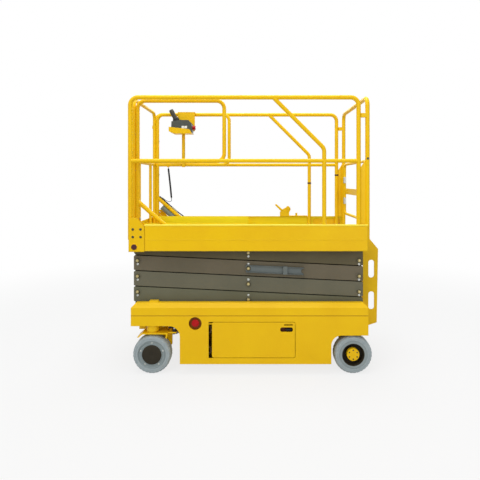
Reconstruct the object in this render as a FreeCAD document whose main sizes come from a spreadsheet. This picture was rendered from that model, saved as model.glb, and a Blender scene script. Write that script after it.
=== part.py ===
import FreeCAD, Part
import math
import os
import Sketcher

# Electric scissor lift with a four-level scissor stack and a roll-out platform deck. Millimetres.
# X runs along the machine and points to its rear, where the ladder and the gate are.
# Y runs across it and Z points up. The ground is at Z 0, under the middle of the machine.

Vector = FreeCAD.Vector
doc = FreeCAD.newDocument("ScissorLift")
sheet = doc.addObject("Spreadsheet::Sheet", "Dims")

SIZES = [
    # name, value, what it is
    ("wheel_dia", 358, "tyre diameter"),
    ("wheel_width", 115, "tyre width"),
    ("wheel_base", 1900, "front axle to rear axle"),
    ("front_axle", -1000, "X of the front axle"),
    ("wheel_inset", 70, "skirt's face to the middle of a tyre"),
    ("rim_rad", 130, "outer radius of a wheel rim"),
    ("hub_cover", 92, "radius of a front wheel's hub cover"),
    ("spindle_rad", 30, "radius of a wheel spindle"),
    ("tyre_round", 14, "rounding of a tyre's shoulders"),
    ("run_gap", 0.5, "running gap round a pin"),
    ("seat_gap", 0.3, "between a piece and its seat"),
    ("body_half", 575, "half width of the body over its skirts"),
    ("skirt_plate", 4, "skirt sheet"),
    ("skirt_front", -1192, "front end of the skirts"),
    ("skirt_rear", 1038, "rear end of the skirts"),
    ("belly_front", -732, "front end of the low middle of the body"),
    ("belly_rear", 690, "rear end of the low middle of the body"),
    ("belly_low", 99, "underside of the body"),
    ("front_arch_top", 455, "skirt's lower edge over a front wheel"),
    ("front_arch_turn", -856, "where the front arch starts to bend down"),
    ("rear_arch_top", 367, "skirt's lower edge over a rear wheel"),
    ("rear_arch_turn", 774, "where the rear arch starts to bend down"),
    ("seam_z", 549.5, "height of the folded seam along the skirts"),
    ("seam_high", 5, "height of that seam's groove"),
    ("seam_deep", 2, "depth of that seam's groove"),
    ("bevel_low", 626, "foot of the bevel along the skirt's top"),
    ("bevel", 40, "width and height of that bevel"),
    ("ledge", 45, "level edge inside the bevel"),
    ("tab_front", -1035, "front end of the raised tab over a front wheel"),
    ("tab_rear", -941, "rear end of that tab"),
    ("tab_high", 16, "height of that tab"),
    ("deck_top", 480, "upper face of the chassis deck plate"),
    ("deck_plate", 10, "chassis deck plate"),
    ("frame_plate", 8, "chassis walls"),
    ("spine_half", 250, "half width of the spine between the trays"),
    ("well_half", 92, "half width of the cylinder's well"),
    ("well_front", 100, "front end of the cylinder's well in the deck"),
    ("well_rear", 668, "rear end of the cylinder's well in the deck"),
    ("nose_half", 290, "half width of the front frame box"),
    ("nose_low", 330, "underside of the front frame box"),
    ("nose_rear", -900, "rear end of the front frame box"),
    ("boss_rad", 58, "kingpin boss"),
    ("boss_low", 390, "lower face of a kingpin boss"),
    ("boss_round", 14, "rounding of a kingpin boss's foot"),
    ("king_rad", 20, "kingpin"),
    ("yoke_low", 372, "underside of a knuckle's top plate"),
    ("yoke_plate", 12, "knuckle plate"),
    ("yoke_half", 150, "half length of a knuckle's top plate"),
    ("yoke_outer", 55, "kingpin to the outer edge of a knuckle's top plate"),
    ("yoke_inner", 80, "kingpin to the inner face of a knuckle"),
    ("yoke_rear", 172, "kingpin to the rear edge of a knuckle's upright"),
    ("yoke_lip", 40, "drop of the bent-down ends of a knuckle's top plate"),
    ("yoke_wing", 138, "kingpin to the tip of a knuckle's front wing"),
    ("steer_arm", 205, "kingpin to tie rod pin"),
    ("tie_rad", 11, "tie rod"),
    ("tie_pin", 10, "tie rod pin"),
    ("motor_rad", 62, "drive motor on a front wheel"),
    ("motor_long", 75, "length of that motor"),
    ("axle_rad", 35, "rear axle beam"),
    ("hanger_half", 80, "half length of a rear axle hanger"),
    ("pin_front", -1156, "X of the front scissor pins"),
    ("pin_rear", 976, "X of the rear scissor pins"),
    ("pin_base", 602, "height of the lowest scissor pins"),
    ("pin_pitch", 150, "height between scissor pins when lowered"),
    ("pin_offset", 22, "end pins off an arm's middle line"),
    ("pin_rad", 22, "scissor pins"),
    ("arm_depth", 140, "height of an arm's section"),
    ("arm_thick", 50, "width of an arm's section"),
    ("arm_wall", 6, "wall of an arm"),
    ("arm_end", 38, "arm past its end pin"),
    ("arm_round", 28, "rounding of an arm's ends that turn close under the platform"),
    ("arm_corner", 10, "rounding of the other arms' ends"),
    ("arm_inset", 95, "side beam's face to the outer arms"),
    ("arm_gap", 5, "between an outer arm and an inner arm"),
    ("hub_rad", 34, "bush round a pin in an arm"),
    ("hub_proud", 2, "how far a bush stands out"),
    ("tube_rad", 38, "cross tube between inner arms"),
    ("tube_wall", 6, "wall of a cross tube"),
    ("tube_front", -281, "X of the front cross tube"),
    ("tube_rise", 36, "front cross tube above its arm's middle line"),
    ("tube_rear", 560, "X of the rear cross tube"),
    ("roller_rad", 32, "slide roller"),
    ("roller_gap", 13, "slide roller to an inner arm"),
    ("roller_wide", 43, "width of a slide roller"),
    ("track_gap", 2, "roller to track"),
    ("track_plate", 6, "track sheet"),
    ("track_rear", -30, "rear end of the tracks"),
    ("ear_plate", 10, "pivot ears"),
    ("ear_gap", 3, "pivot ear to arm"),
    ("ear_rad", 40, "rounded end of a pivot ear"),
    ("ram_x", 592.4, "X of the lift cylinder's foot"),
    ("ram_z", 320.9, "height of the lift cylinder's foot"),
    ("ram_head_x", -178.3, "X of the lift cylinder's head"),
    ("ram_head_z", 679.7, "height of the lift cylinder's head"),
    ("ram_rad", 52, "lift cylinder barrel"),
    ("ram_long", 600, "foot pin to the barrel's gland"),
    ("ram_rod", 28, "lift cylinder rod"),
    ("ram_pin", 20, "lift cylinder pins"),
    ("ram_eye", 38, "outer radius of the cylinder's eyes"),
    ("ram_eye_half", 30, "half width of the cylinder's eyes"),
    ("ram_ear_in", 34, "inner face of the cylinder's ears"),
    ("beam_inset", 15, "skirt's face to a side beam's face"),
    ("beam_low", 1156, "underside of the side beams"),
    ("beam_top", 1394, "top of the side beams"),
    ("beam_plate", 4, "side beam sheet"),
    ("beam_lip", 45, "lower lip of a side beam"),
    ("floor_low", 1258, "underside of the platform floor"),
    ("floor_plate", 5, "platform floor"),
    ("deck_rear", 1038, "rear end of the platform"),
    ("tread_sheet", 3, "tread sheet on the fixed floor"),
    ("tread_gap", 8, "tread sheet to the roll-out deck"),
    ("tread_back", 24, "tread sheet to the platform's rear end"),
    ("recess_low", 1296, "lower edge of the recess in the far toe board"),
    ("corner_front", -1216, "front edge of a corner plate"),
    ("corner_rear", -1068, "rear edge of a corner plate"),
    ("corner_top", 1472, "top of a corner plate"),
    ("corner_plate", 6, "corner plate"),
    ("rail_rad", 21, "guardrail tube"),
    ("rail_inset", 25, "side beam's face to the middle of a side rail"),
    ("rail_top", 2610, "top rail's middle line"),
    ("rail_drop", 601, "top rail to mid rail"),
    ("rail_front", -1209, "X of the front posts"),
    ("rail_rear", 955, "X of the rear posts"),
    ("rail_bend", 75, "bend of the rails' corners"),
    ("brace_foot", 629, "X of the bent post"),
    ("brace_head", 146, "where the bent post leaves the top rail"),
    ("hoop_rear", 1040, "X of the rear hoop"),
    ("hoop_inset", 30, "side beam's face to the middle of the rear hoop's posts"),
    ("gate_low", 1436, "lower bar of the gate"),
    ("gate_rad", 15, "gate tube"),
    ("gate_free_gap", 68, "middle of a hoop post to the gate's free stile"),
    ("gate_hinge_gap", 38, "middle of a hoop post to the gate's hinge line"),
    ("gate_stile_gap", 28, "gate's hinge line to its hinge stile"),
    ("gate_bar_drop", 25, "gate's middle height to the middle of its flat bar"),
    ("lock_front", 277, "X of the foot lock's housing"),
    ("lock_long", 110, "housing of the foot lock"),
    ("lock_lip", 15, "lip at the housing's rear"),
    ("lock_head", 68, "housing's front to its highest corner"),
    ("lock_brow", 33, "housing's front to its front brow"),
    ("lock_step", 50, "height of the housing's front wall"),
    ("lock_neck", 74, "height of the housing's lip"),
    ("lock_high", 104, "height of the housing"),
    ("lock_wide", 30, "width of the housing"),
    ("pedal_reach", 62, "pedal's end in front of the housing"),
    ("pedal_root", 28, "pedal's root behind the housing's front"),
    ("pedal_low", 60, "height of the pedal's root"),
    ("pedal_high", 148, "height of the pedal's end"),
    ("pedal_plate", 12, "thickness of the pedal"),
    ("pedal_wide", 24, "width of the pedal and the strip"),
    ("knob_back", 96, "housing's front to its knob"),
    ("knob_rad", 20, "knob of the foot lock"),
    ("strip_long", 198, "strip behind the housing"),
    ("strip_plate", 10, "strip's thickness"),
    ("peg_gap", 58, "housing's lip to the strip's peg"),
    ("peg_long", 24, "peg on the strip"),
    ("peg_high", 42, "height of the peg"),
    ("ext_inset", 60, "side beam's face to the roll-out deck's edge"),
    ("ext_gap", 3, "roll-out deck above the floor"),
    ("ext_plate", 5, "roll-out deck sheet"),
    ("ext_rear", -90, "rear end of the roll-out deck"),
    ("ext_front", -1229, "front of the roll-out deck"),
    ("ext_rail_inset", 70, "roll-out deck's edge to its rails"),
    ("ext_post", -1203, "X of the roll-out hoop"),
    ("ext_tail", -325, "X of the roll-out rails' rear posts"),
    ("ext_rad", 19, "roll-out rail tube"),
    ("ext_inner", 234, "short front posts from the machine's middle"),
    ("front_arch_bend", 100, "bend of the front arch"),
    ("rear_arch_bend", 95, "bend of the rear arch"),
    ("door_front", -462, "front edge of the tray door's opening"),
    ("door_rear", 353, "rear edge of the tray door's opening"),
    ("door_low", 156, "lower edge of the tray door's opening"),
    ("door_top", 495, "upper edge of the tray door's opening"),
    ("door_gap", 4, "gap round a tray door"),
    ("door_round", 20, "rounding of the tray door's corners"),
    ("hinge_gap", 32, "gap at a tray door's hinge"),
    ("hinge_x", -443, "X of the tray hinges"),
    ("hinge_inset", 8, "skirt's face to the tray hinges"),
    ("hinge_rad", 6, "tray hinge barrel"),
    ("hinge_pin", 3.5, "tray hinge pin"),
    ("hinge_long", 40, "length of a tray hinge barrel"),
    ("tray_rear", 280, "rear end of a tray"),
    ("tray_in", 272, "inner edge of a tray"),
    ("tray_plate", 5, "tray sheet"),
    ("tray_wall", 70, "height of a tray's walls"),
    ("cell_high", 266, "height of a battery"),
    ("tank_long", 260, "length of the oil tank"),
    ("tank_high", 256, "height of the oil tank"),
    ("valve_long", 90, "length of the valve block"),
    ("valve_high", 180, "height of the valve block"),
    ("pump_rad", 66, "radius of the pump motor"),
    ("pump_long", 190, "length of the pump motor"),
    ("stop_x", -588, "X of the emergency stop"),
    ("stop_z", 480, "height of the emergency stop"),
    ("stop_recess", 60, "radius of the emergency stop's recess"),
    ("stop_rad", 41, "radius of the emergency stop's button"),
    ("front_panel_top", 545, "top of the front panel"),
    ("rear_panel_top", 585, "top of the rear panel"),
    ("tie_down_y", 420, "tie-down holes from the machine's middle"),
    ("tie_front_z", 512, "height of the front tie-down holes"),
    ("tie_rear_z", 430, "height of the rear tie-down holes"),
    ("tie_hole", 17, "radius of a tie-down hole"),
    ("ladder_mid", 225, "ladder sides from the machine's middle"),
    ("ladder_plate", 6, "ladder sheet"),
    ("ladder_front", 1076, "front edge of the ladder's sides"),
    ("ladder_rear", 1230, "rear edge of the ladder's sides"),
    ("ladder_top", 1242, "top of the ladder"),
    ("ladder_low", 346, "foot of the ladder"),
    ("step_low", 420, "height of the ladder's lowest step"),
    ("step_pitch", 322, "height between steps"),
    ("slot_wide", 58, "width of the slots in the ladder's sides"),
    ("slot_high", 180, "height of the slots in the ladder's sides"),
    ("prop_long", 530, "length of the safety prop"),
    ("prop_high", 70, "height of the safety prop's channel"),
    ("prop_deep", 22, "depth of the safety prop's channel"),
    ("clip_back", 197, "safety prop's end to its clip"),
    ("clip_wide", 42, "width of that clip"),
    ("ext_drop", 14, "roll-out side rails below the main ones"),
    ("ext_brace_high", 350, "height of the roll-out braces"),
    ("ext_brace_run", 400, "length of the roll-out braces"),
    ("brace_rad", 21, "roll-out brace tube"),
    ("box_front", -974, "front end of the control box"),
    ("box_rear", -737, "rear end of the control box"),
    ("box_high", 148, "height of the control box"),
    ("box_drop", 102, "top rail down to the top of the control box"),
    ("box_wall", 4, "cradle sheet"),
    ("boot_rad", 34, "boot of the control grip"),
    ("grip_rad", 24, "control grip"),
    ("cable_x", -1041, "X where the cable leaves the mid rail"),
    ("box_wide", 132, "width of the control box"),
    ("box_inset", 48, "roll-out rail to the outer face of the control box"),
    ("curl_rad", 11.5, "outer radius of the curly cable"),
    ("wire_rad", 3, "radius of the cable's plain tail"),
    ("loom_rad", 6.5, "radius of the cable on the brace"),
    ("holder_rad", 28, "radius of the document tube"),
    ("holder_long", 215, "length of the document tube"),
]

row = 0
for alias, number, meaning in SIZES:
    row += 1
    sheet.set("A%d" % row, alias)
    sheet.set("B%d" % row, str(number))
    sheet.set("C%d" % row, meaning)
    sheet.setAlias("B%d" % row, alias)
doc.recompute()


class Size:
    """A length with its value and the spreadsheet formula that gives it."""

    def __init__(self, value, text):
        self.value = value
        self.text = text

    def __float__(self):
        return float(self.value)

    def __neg__(self):
        return Size(-self.value, "-1 * (%s)" % self.text)

    def __add__(self, other):
        other = size(other)
        return Size(self.value + other.value, "(%s) + (%s)" % (self.text, other.text))

    def __sub__(self, other):
        other = size(other)
        return Size(self.value - other.value, "(%s) - (%s)" % (self.text, other.text))

    def __mul__(self, other):
        other = size(other)
        return Size(self.value * other.value, "(%s) * (%s)" % (self.text, other.text))

    def __truediv__(self, other):
        other = size(other)
        return Size(self.value / other.value, "(%s) / (%s)" % (self.text, other.text))

    def __radd__(self, other):
        return size(other) + self

    def __rsub__(self, other):
        return size(other) - self

    def __rmul__(self, other):
        return size(other) * self


def size(given):
    if isinstance(given, Size):
        return given
    return Size(float(given), repr(float(given)))


class Dims:
    """The spreadsheet's cells by name."""

    def __getattr__(self, alias):
        return Size(float(sheet.get(alias)), "Dims." + alias)


d = Dims()
nodes = []


def bind(item, prop, length):
    item.setExpression(prop, size(length).text)


def finish(item, label):
    """Name an object as one sub-part of the machine."""
    item.Label = label
    nodes.append(item)
    return item


def put(item, x, y, z):
    bind(item, "Placement.Base.x", x)
    bind(item, "Placement.Base.y", y)
    bind(item, "Placement.Base.z", z)


def box(x0, x1, y0, y1, z0, z1):
    item = doc.addObject("Part::Box", "Block")
    bind(item, "Length", x1 - size(x0))
    bind(item, "Width", y1 - size(y0))
    bind(item, "Height", z1 - size(z0))
    put(item, x0, y0, z0)
    return item


TURNS = {
    "x": FreeCAD.Rotation(Vector(0, 1, 0), 90),
    "y": FreeCAD.Rotation(Vector(1, 0, 0), -90),
    "z": FreeCAD.Rotation(),
}


def rod(axis, x, y, z, radius, length):
    """A cylinder that starts at x, y, z and runs along +axis."""
    item = doc.addObject("Part::Cylinder", "Round")
    item.Placement = FreeCAD.Placement(Vector(), TURNS[axis])
    bind(item, "Radius", radius)
    bind(item, "Height", length)
    put(item, x, y, z)
    return item


def across(side, near, far):
    """The lower and upper Y of a piece that runs from near to far on one side of the middle."""
    if side > 0:
        return size(near), size(far)
    return -size(far), -size(near)


def side_box(side, x0, x1, near, far, z0, z1):
    y0, y1 = across(side, near, far)
    return box(x0, x1, y0, y1, z0, z1)


def side_rod(side, x, near, far, z, radius):
    y0, y1 = across(side, near, far)
    return rod("y", x, y0, z, radius, y1 - y0)


def join(*parts):
    item = doc.addObject("Part::MultiFuse", "Joined")
    item.Shapes = list(parts)
    item.Refine = True
    return item


def cut(base, *tools):
    tool = tools[0] if len(tools) == 1 else join(*tools)
    item = doc.addObject("Part::Cut", "Cut")
    item.Base = base
    item.Tool = tool
    item.Refine = True
    return item


def rounded_edge(item, height, radius):
    """A round upright piece with the edge at one height rounded."""
    doc.recompute()
    fillet = doc.addObject("Part::Fillet", "Rounded")
    fillet.Base = item
    fillet.Edges = [(k + 1, float(radius), float(radius)) for k, edge in enumerate(item.Shape.Edges)
                    if abs(edge.BoundBox.ZMax - float(height)) < 0.01]
    return fillet


def group(*parts):
    """Pieces of one sub-part that don't touch."""
    item = doc.addObject("Part::Compound", "Set")
    item.Links = list(parts)
    return item


PLANES = {"xy": "XY_Plane", "xz": "XZ_Plane", "yz": "YZ_Plane"}
AXES = {"xy": (0, 1), "xz": (0, 2), "yz": (1, 2)}


def plate(plane, start, end, corners, rounds=()):
    """A flat piece: an outline on a plane, padded from start to end along the plane's normal axis.
    rounds holds pairs of corner numbers and a radius."""
    start, end = size(start), size(end)
    body = doc.addObject("PartDesign::Body", "Body")
    outline = body.newObject("Sketcher::SketchObject", "Outline")
    role = [f for f in body.Origin.OriginFeatures if f.Role == PLANES[plane]][0]
    outline.AttachmentSupport = [(role, "")]
    outline.MapMode = "FlatFace"
    # the XZ plane's normal points to -Y
    bind(outline, "AttachmentOffset.Base.z", -end if plane == "xz" else start)
    first, second = AXES[plane]
    count = len(corners)
    points = [Vector(float(a), float(b), 0) for a, b in corners]
    for i in range(count):
        outline.addGeometry(Part.LineSegment(points[i], points[(i + 1) % count]), False)
    for i in range(count):
        outline.addConstraint(Sketcher.Constraint("Coincident", i, 2, (i + 1) % count, 1))
    for i, (a, b) in enumerate(corners):
        k = outline.addConstraint(Sketcher.Constraint("DistanceX", -1, 1, i, 1, float(a)))
        bind(outline, "Constraints[%d]" % k, a)
        k = outline.addConstraint(Sketcher.Constraint("DistanceY", -1, 1, i, 1, float(b)))
        bind(outline, "Constraints[%d]" % k, b)
    pad = body.newObject("PartDesign::Pad", "Pad")
    pad.Profile = outline
    bind(pad, "Length", end - start)
    for numbers, radius in rounds:
        doc.recompute()
        last = body.Tip
        names = []
        for number in numbers:
            a, b = points[number].x, points[number].y
            for k, edge in enumerate(last.Shape.Edges):
                ends = [v.Point for v in edge.Vertexes]
                if len(ends) != 2:
                    continue
                if all(math.hypot(p[first] - a, p[second] - b) < 0.01 for p in ends):
                    names.append("Edge%d" % (k + 1))
        fillet = body.newObject("PartDesign::Fillet", "Rounded")
        fillet.Base = (last, names)
        bind(fillet, "Radius", radius)
    return body


def side_plate(side, near, far, corners, rounds=()):
    """A flat upright piece along the machine, on one side of the middle."""
    y0, y1 = across(side, near, far)
    return plate("xz", y0, y1, corners, rounds)


def section(side, x0, x1, corners, rounds=()):
    """A piece with one section along X: corners are distance from the middle and height."""
    return plate("yz", x0, x1, [(size(a) * side, b) for a, b in corners], rounds)


def path_wire(points, bends):
    """Straight runs through the points, joined by arcs: one radius for each inner point."""
    edges = []
    at = points[0]
    for i in range(1, len(points) - 1):
        corner = points[i]
        back = (points[i - 1] - corner).normalize()
        ahead = (points[i + 1] - corner).normalize()
        half = back.getAngle(ahead) / 2
        bend = bends[i - 1]
        reach = bend / math.tan(half)
        start = corner + back * reach
        stop = corner + ahead * reach
        middle = (back + ahead).normalize()
        centre = corner + middle * (bend / math.sin(half))
        edges.append(Part.LineSegment(at, start).toShape())
        edges.append(Part.Arc(start, centre - middle * bend, stop).toShape())
        at = stop
    edges.append(Part.LineSegment(at, points[-1]).toShape())
    return Part.Wire(edges)


def swept(spots, radius, bends):
    path = doc.addObject("Part::Feature", "Path")
    path.Shape = path_wire(spots, bends)
    ring = doc.addObject("Part::Circle", "Ring")
    ring.Placement = FreeCAD.Placement(spots[0], FreeCAD.Rotation(Vector(0, 0, 1), spots[1] - spots[0]))
    bind(ring, "Radius", radius)
    item = doc.addObject("Part::Sweep", "Tube")
    item.Sections = [ring]
    item.Spine = (path, ["Edge%d" % (k + 1) for k in range(len(path.Shape.Edges))])
    item.Solid = True
    item.Frenet = False
    item.Transition = "Right corner"
    return item


def pipe(points, radius, bend=0):
    """A round tube along straight runs and arcs of one radius."""
    spots = [Vector(float(x), float(y), float(z)) for x, y, z in points]
    return swept(spots, radius, [float(size(bend))] * (len(spots) - 2))


def cord(label, points, radius):
    """A cord: each bend takes 0.45 of the shorter run beside it."""
    spots = [Vector(float(x), float(y), float(z)) for x, y, z in points]
    runs = [spots[i + 1] - spots[i] for i in range(len(spots) - 1)]
    bends = []
    for before, after in zip(runs, runs[1:]):
        half_turn = before.getAngle(after) / 2
        bends.append(0.45 * min(before.Length, after.Length) / math.tan(half_turn))
    print(label, "bend radii", [round(bend, 1) for bend in bends])
    return finish(swept(spots, radius, bends), label)


def turned(axis_point, spots):
    """A piece turned about Y: spots holds points along the axis and out from it."""
    body = doc.addObject("PartDesign::Body", "Turned")
    outline = body.newObject("Sketcher::SketchObject", "Outline")
    role = [f for f in body.Origin.OriginFeatures if f.Role == "XY_Plane"][0]
    outline.AttachmentSupport = [(role, "")]
    outline.MapMode = "FlatFace"
    count = len(spots)
    points = [Vector(float(b), float(a), 0) for a, b in spots]
    for i in range(count):
        outline.addGeometry(Part.LineSegment(points[i], points[(i + 1) % count]), False)
    for i in range(count):
        outline.addConstraint(Sketcher.Constraint("Coincident", i, 2, (i + 1) % count, 1))
    for i, (a, b) in enumerate(spots):
        k = outline.addConstraint(Sketcher.Constraint("DistanceX", -1, 1, i, 1, float(b)))
        bind(outline, "Constraints[%d]" % k, b)
        k = outline.addConstraint(Sketcher.Constraint("DistanceY", -1, 1, i, 1, float(a)))
        bind(outline, "Constraints[%d]" % k, a)
    spin = body.newObject("PartDesign::Revolution", "Revolution")
    spin.Profile = outline
    spin.ReferenceAxis = (outline, ["V_Axis"])
    spin.Angle = 360
    x, y, z = axis_point
    put(body, x, y, z)
    return body


LEFT, RIGHT = -1, 1
SIDES = ((LEFT, "left"), (RIGHT, "right"))

axle_z = d.wheel_dia / 2
rear_axle = d.front_axle + d.wheel_base
wheel_mid = d.body_half - d.wheel_inset
hinge_y = d.body_half - d.hinge_inset
beam_half = d.body_half - d.beam_inset
rail_mid_y = beam_half - d.rail_inset
hoop_mid_y = beam_half - d.hoop_inset
rail_half = d.rail_top - d.rail_drop
arm_out = beam_half - d.arm_inset
arm_in = arm_out - d.arm_thick
inner_out = arm_in - d.arm_gap
inner_in = inner_out - d.arm_thick
roller_out = inner_in - d.roller_gap
roller_in = roller_out - d.roller_wide
skin_in = d.body_half - d.skirt_plate
pin_mid = (d.pin_front + d.pin_rear) / 2
steer_x = d.front_axle + d.steer_arm
yoke_top = d.yoke_low + d.yoke_plate


def pin_z(level):
    return d.pin_base + d.pin_pitch * level


# chassis
deck_low = d.deck_top - d.deck_plate
inside_front = d.skirt_front + d.skirt_plate
inside_rear = d.skirt_rear - d.skirt_plate
belly = [
    box(d.belly_front, d.belly_rear, -skin_in, skin_in, d.belly_low, d.belly_low + d.frame_plate),
    box(d.belly_front, d.belly_front + d.frame_plate, -skin_in, skin_in, d.belly_low, deck_low),
    box(d.belly_rear - d.frame_plate, d.belly_rear, -skin_in, skin_in, d.belly_low, deck_low),
]
nose = [
    box(inside_front, d.nose_rear, -d.nose_half, d.nose_half, d.nose_low, d.nose_low + d.frame_plate),
    box(d.nose_rear - d.frame_plate, d.nose_rear, -d.nose_half, d.nose_half, d.nose_low, deck_low),
    box(inside_front, inside_front + d.frame_plate, -d.nose_half, d.nose_half, d.nose_low, deck_low),
]
deck = [box(inside_front, inside_rear, -skin_in, skin_in, deck_low, d.deck_top)]
mounts = []
for side, word in SIDES:
    belly.append(side_box(side, d.belly_front, d.belly_rear, d.spine_half - d.frame_plate, d.spine_half,
                          d.belly_low, deck_low))
    belly.append(side_box(side, d.well_front, d.belly_rear, d.well_half, d.well_half + d.frame_plate,
                          d.belly_low, deck_low))
    nose.append(side_box(side, inside_front, d.nose_rear, d.nose_half - d.frame_plate, d.nose_half,
                         d.nose_low, deck_low))
    deck.append(side_box(side, d.nose_rear, d.belly_front, d.spine_half - d.frame_plate, d.spine_half,
                         deck_low - 45, deck_low))
    deck.append(rod("z", d.front_axle, wheel_mid * side, d.deck_top, d.boss_rad, 12))
    # kingpin bosses, with a gusset in front of each
    boss = rod("z", d.front_axle, wheel_mid * side, d.boss_low, d.boss_rad, deck_low - d.boss_low)
    bore = rod("z", d.front_axle, wheel_mid * side, d.boss_low - 1, d.king_rad + d.run_gap,
               deck_low - d.boss_low - 5)
    mounts.append(cut(rounded_edge(boss, d.boss_low, d.boss_round), bore))
    gusset_x = d.front_axle - d.boss_rad - 24
    mounts.append(side_box(side, gusset_x, gusset_x + d.frame_plate, d.nose_half, wheel_mid - 30,
                           d.boss_low + 6, deck_low))
    # rear axle hangers
    hanger = side_plate(side, d.nose_half - d.frame_plate, d.nose_half, [
        (rear_axle - d.hanger_half, axle_z), (rear_axle - 45, axle_z - 60), (rear_axle + 45, axle_z - 60),
        (rear_axle + d.hanger_half, axle_z), (rear_axle + d.hanger_half + 25, deck_low),
        (rear_axle - d.hanger_half - 25, deck_low)])
    mounts.append(cut(hanger, side_rod(side, rear_axle, d.nose_half - d.frame_plate - 1, d.nose_half + 1,
                                       axle_z, d.axle_rad + d.seat_gap)))
    # ears for the lift cylinder's foot
    belly.append(side_plate(side, d.ram_ear_in, d.ram_ear_in + d.ear_plate, [
        (d.ram_x - 60, d.belly_low), (d.ram_x + 60, d.belly_low), (d.ram_x + d.ear_rad, d.ram_z + d.ear_rad),
        (d.ram_x - d.ear_rad, d.ram_z + d.ear_rad)], [((2, 3), d.ear_rad * 0.9)]))
belly.append(rod("y", d.ram_x, -(d.ram_ear_in + d.ear_plate + 6), d.ram_z, d.ram_pin,
                 (d.ram_ear_in + d.ear_plate + 6) * 2))
finish(group(join(*belly), join(*nose)), "chassis_frame")
finish(group(*mounts), "axle_mounts")

# the deck is open over the cylinder's well and behind the emergency stop
stop_notch = d.stop_recess + 5
finish(cut(join(*deck),
           box(d.well_front, d.well_rear, -d.well_half, d.well_half, deck_low - 1, d.deck_top + 1),
           side_box(LEFT, d.stop_x - stop_notch, d.stop_x + stop_notch, skin_in - 30, skin_in + 1,
                    deck_low - 1, d.deck_top + 1)), "chassis_deck")

finish(join(
    rod("y", rear_axle, -(wheel_mid - d.wheel_width / 2 - 4), axle_z, d.axle_rad,
        (wheel_mid - d.wheel_width / 2 - 4) * 2),
    rod("y", rear_axle, -(wheel_mid + 32), axle_z, d.spindle_rad, (wheel_mid + 32) * 2),
), "rear_axle")

# body panels
top_z = d.bevel_low + d.bevel
hinge_heights = (d.door_low + 54, d.door_top - 94)
skirts = []
for side, word in SIDES:
    thick = d.skirt_plate
    seam_in = d.body_half - d.seam_deep
    skin = section(side, d.skirt_front, d.skirt_rear, [
        (d.body_half, d.belly_low), (d.body_half, d.seam_z), (seam_in, d.seam_z),
        (seam_in, d.seam_z + d.seam_high), (d.body_half, d.seam_z + d.seam_high),
        (d.body_half, d.bevel_low), (d.body_half - d.bevel, top_z),
        (d.body_half - d.bevel - d.ledge, top_z), (d.body_half - d.bevel - d.ledge, top_z - thick),
        (d.body_half - d.bevel - thick * 0.414, top_z - thick), (skin_in, d.bevel_low - thick * 0.414),
        (skin_in, d.belly_low)])
    near, far = skin_in - 1, d.body_half + 1
    front_arch = side_plate(side, near, far, [
        (d.skirt_front - 1, d.belly_low - 1), (d.belly_front, d.belly_low - 1),
        (d.belly_front, d.front_arch_top), (d.skirt_front - 1, d.front_arch_top)],
        [((2,), d.front_arch_bend)])
    rear_arch = side_plate(side, near, far, [
        (d.belly_rear, d.belly_low - 1), (d.skirt_rear + 1, d.belly_low - 1),
        (d.skirt_rear + 1, d.rear_arch_top), (d.belly_rear, d.rear_arch_top)],
        [((3,), d.rear_arch_bend)])
    doorway = side_plate(side, near, far, [
        (d.door_front, d.door_low), (d.door_rear, d.door_low), (d.door_rear, d.door_top),
        (d.door_front, d.door_top)], [((0, 1, 2, 3), d.door_round)])
    tools = [front_arch, rear_arch, doorway]
    # both ends of the bevelled top are cut on the slant
    for end, inward in ((d.skirt_front, 1), (d.skirt_rear, -1)):
        tools.append(side_plate(side, d.body_half - d.bevel - d.ledge - 1, far, [
            (end - inward, d.bevel_low), (end - inward, top_z + 1), (end + d.bevel * inward, top_z + 1)]))
    tab = side_plate(side, d.body_half - d.bevel - d.ledge, d.body_half - d.bevel, [
        (d.tab_front, top_z - thick), (d.tab_rear, top_z - thick), (d.tab_rear, top_z + d.tab_high),
        (d.tab_front, top_z + d.tab_high)], [((2, 3), d.tab_high * 0.9)])
    hinges = []
    for height in hinge_heights:
        hinges.append(rod("z", d.hinge_x, hinge_y * side, height - 12, d.hinge_pin, d.hinge_long + 24))
        for start in (height - 12, height + d.hinge_long + 1):
            hinges.append(side_box(side, d.door_front - 22, d.hinge_x + d.hinge_pin, hinge_y - 4, skin_in,
                                   start, start + 11))
    if side == LEFT:
        tools.append(side_rod(side, d.stop_x, near, far, d.stop_z, d.stop_recess))
        cup = cut(side_rod(side, d.stop_x, skin_in - 26, skin_in, d.stop_z, d.stop_recess + 3),
                  side_rod(side, d.stop_x, skin_in - 23, skin_in + 1, d.stop_z, d.stop_recess))
        skirts.append(join(cut(skin, *tools), tab, cup, *hinges))
    else:
        skirts.append(join(cut(skin, *tools), tab, *hinges))
finish(group(*skirts), "side_skirts")

front_holes = []
rear_holes = []
drill = d.skirt_plate + 2
for side, word in SIDES:
    tie_y = d.tie_down_y * side
    front_holes.append(rod("x", d.skirt_front - 1, tie_y, d.tie_front_z, d.tie_hole, drill))
    rear_holes.append(rod("x", inside_rear - 1, tie_y, d.tie_rear_z, d.tie_hole, drill))
front_panel = box(d.skirt_front, inside_front, -skin_in, skin_in, d.front_arch_top, d.front_panel_top)
rear_panel = box(inside_rear, d.skirt_rear, -skin_in, skin_in, d.rear_arch_top, d.rear_panel_top)
finish(group(cut(front_panel, *front_holes), cut(rear_panel, *rear_holes)), "end_panels")

stop_back = skin_in - 23
finish(join(
    side_rod(LEFT, d.stop_x, stop_back, stop_back + 14, d.stop_z, d.stop_rad * 0.7),
    side_rod(LEFT, d.stop_x, stop_back + 12, stop_back + 24, d.stop_z, d.stop_rad),
), "emergency_stop")

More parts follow.
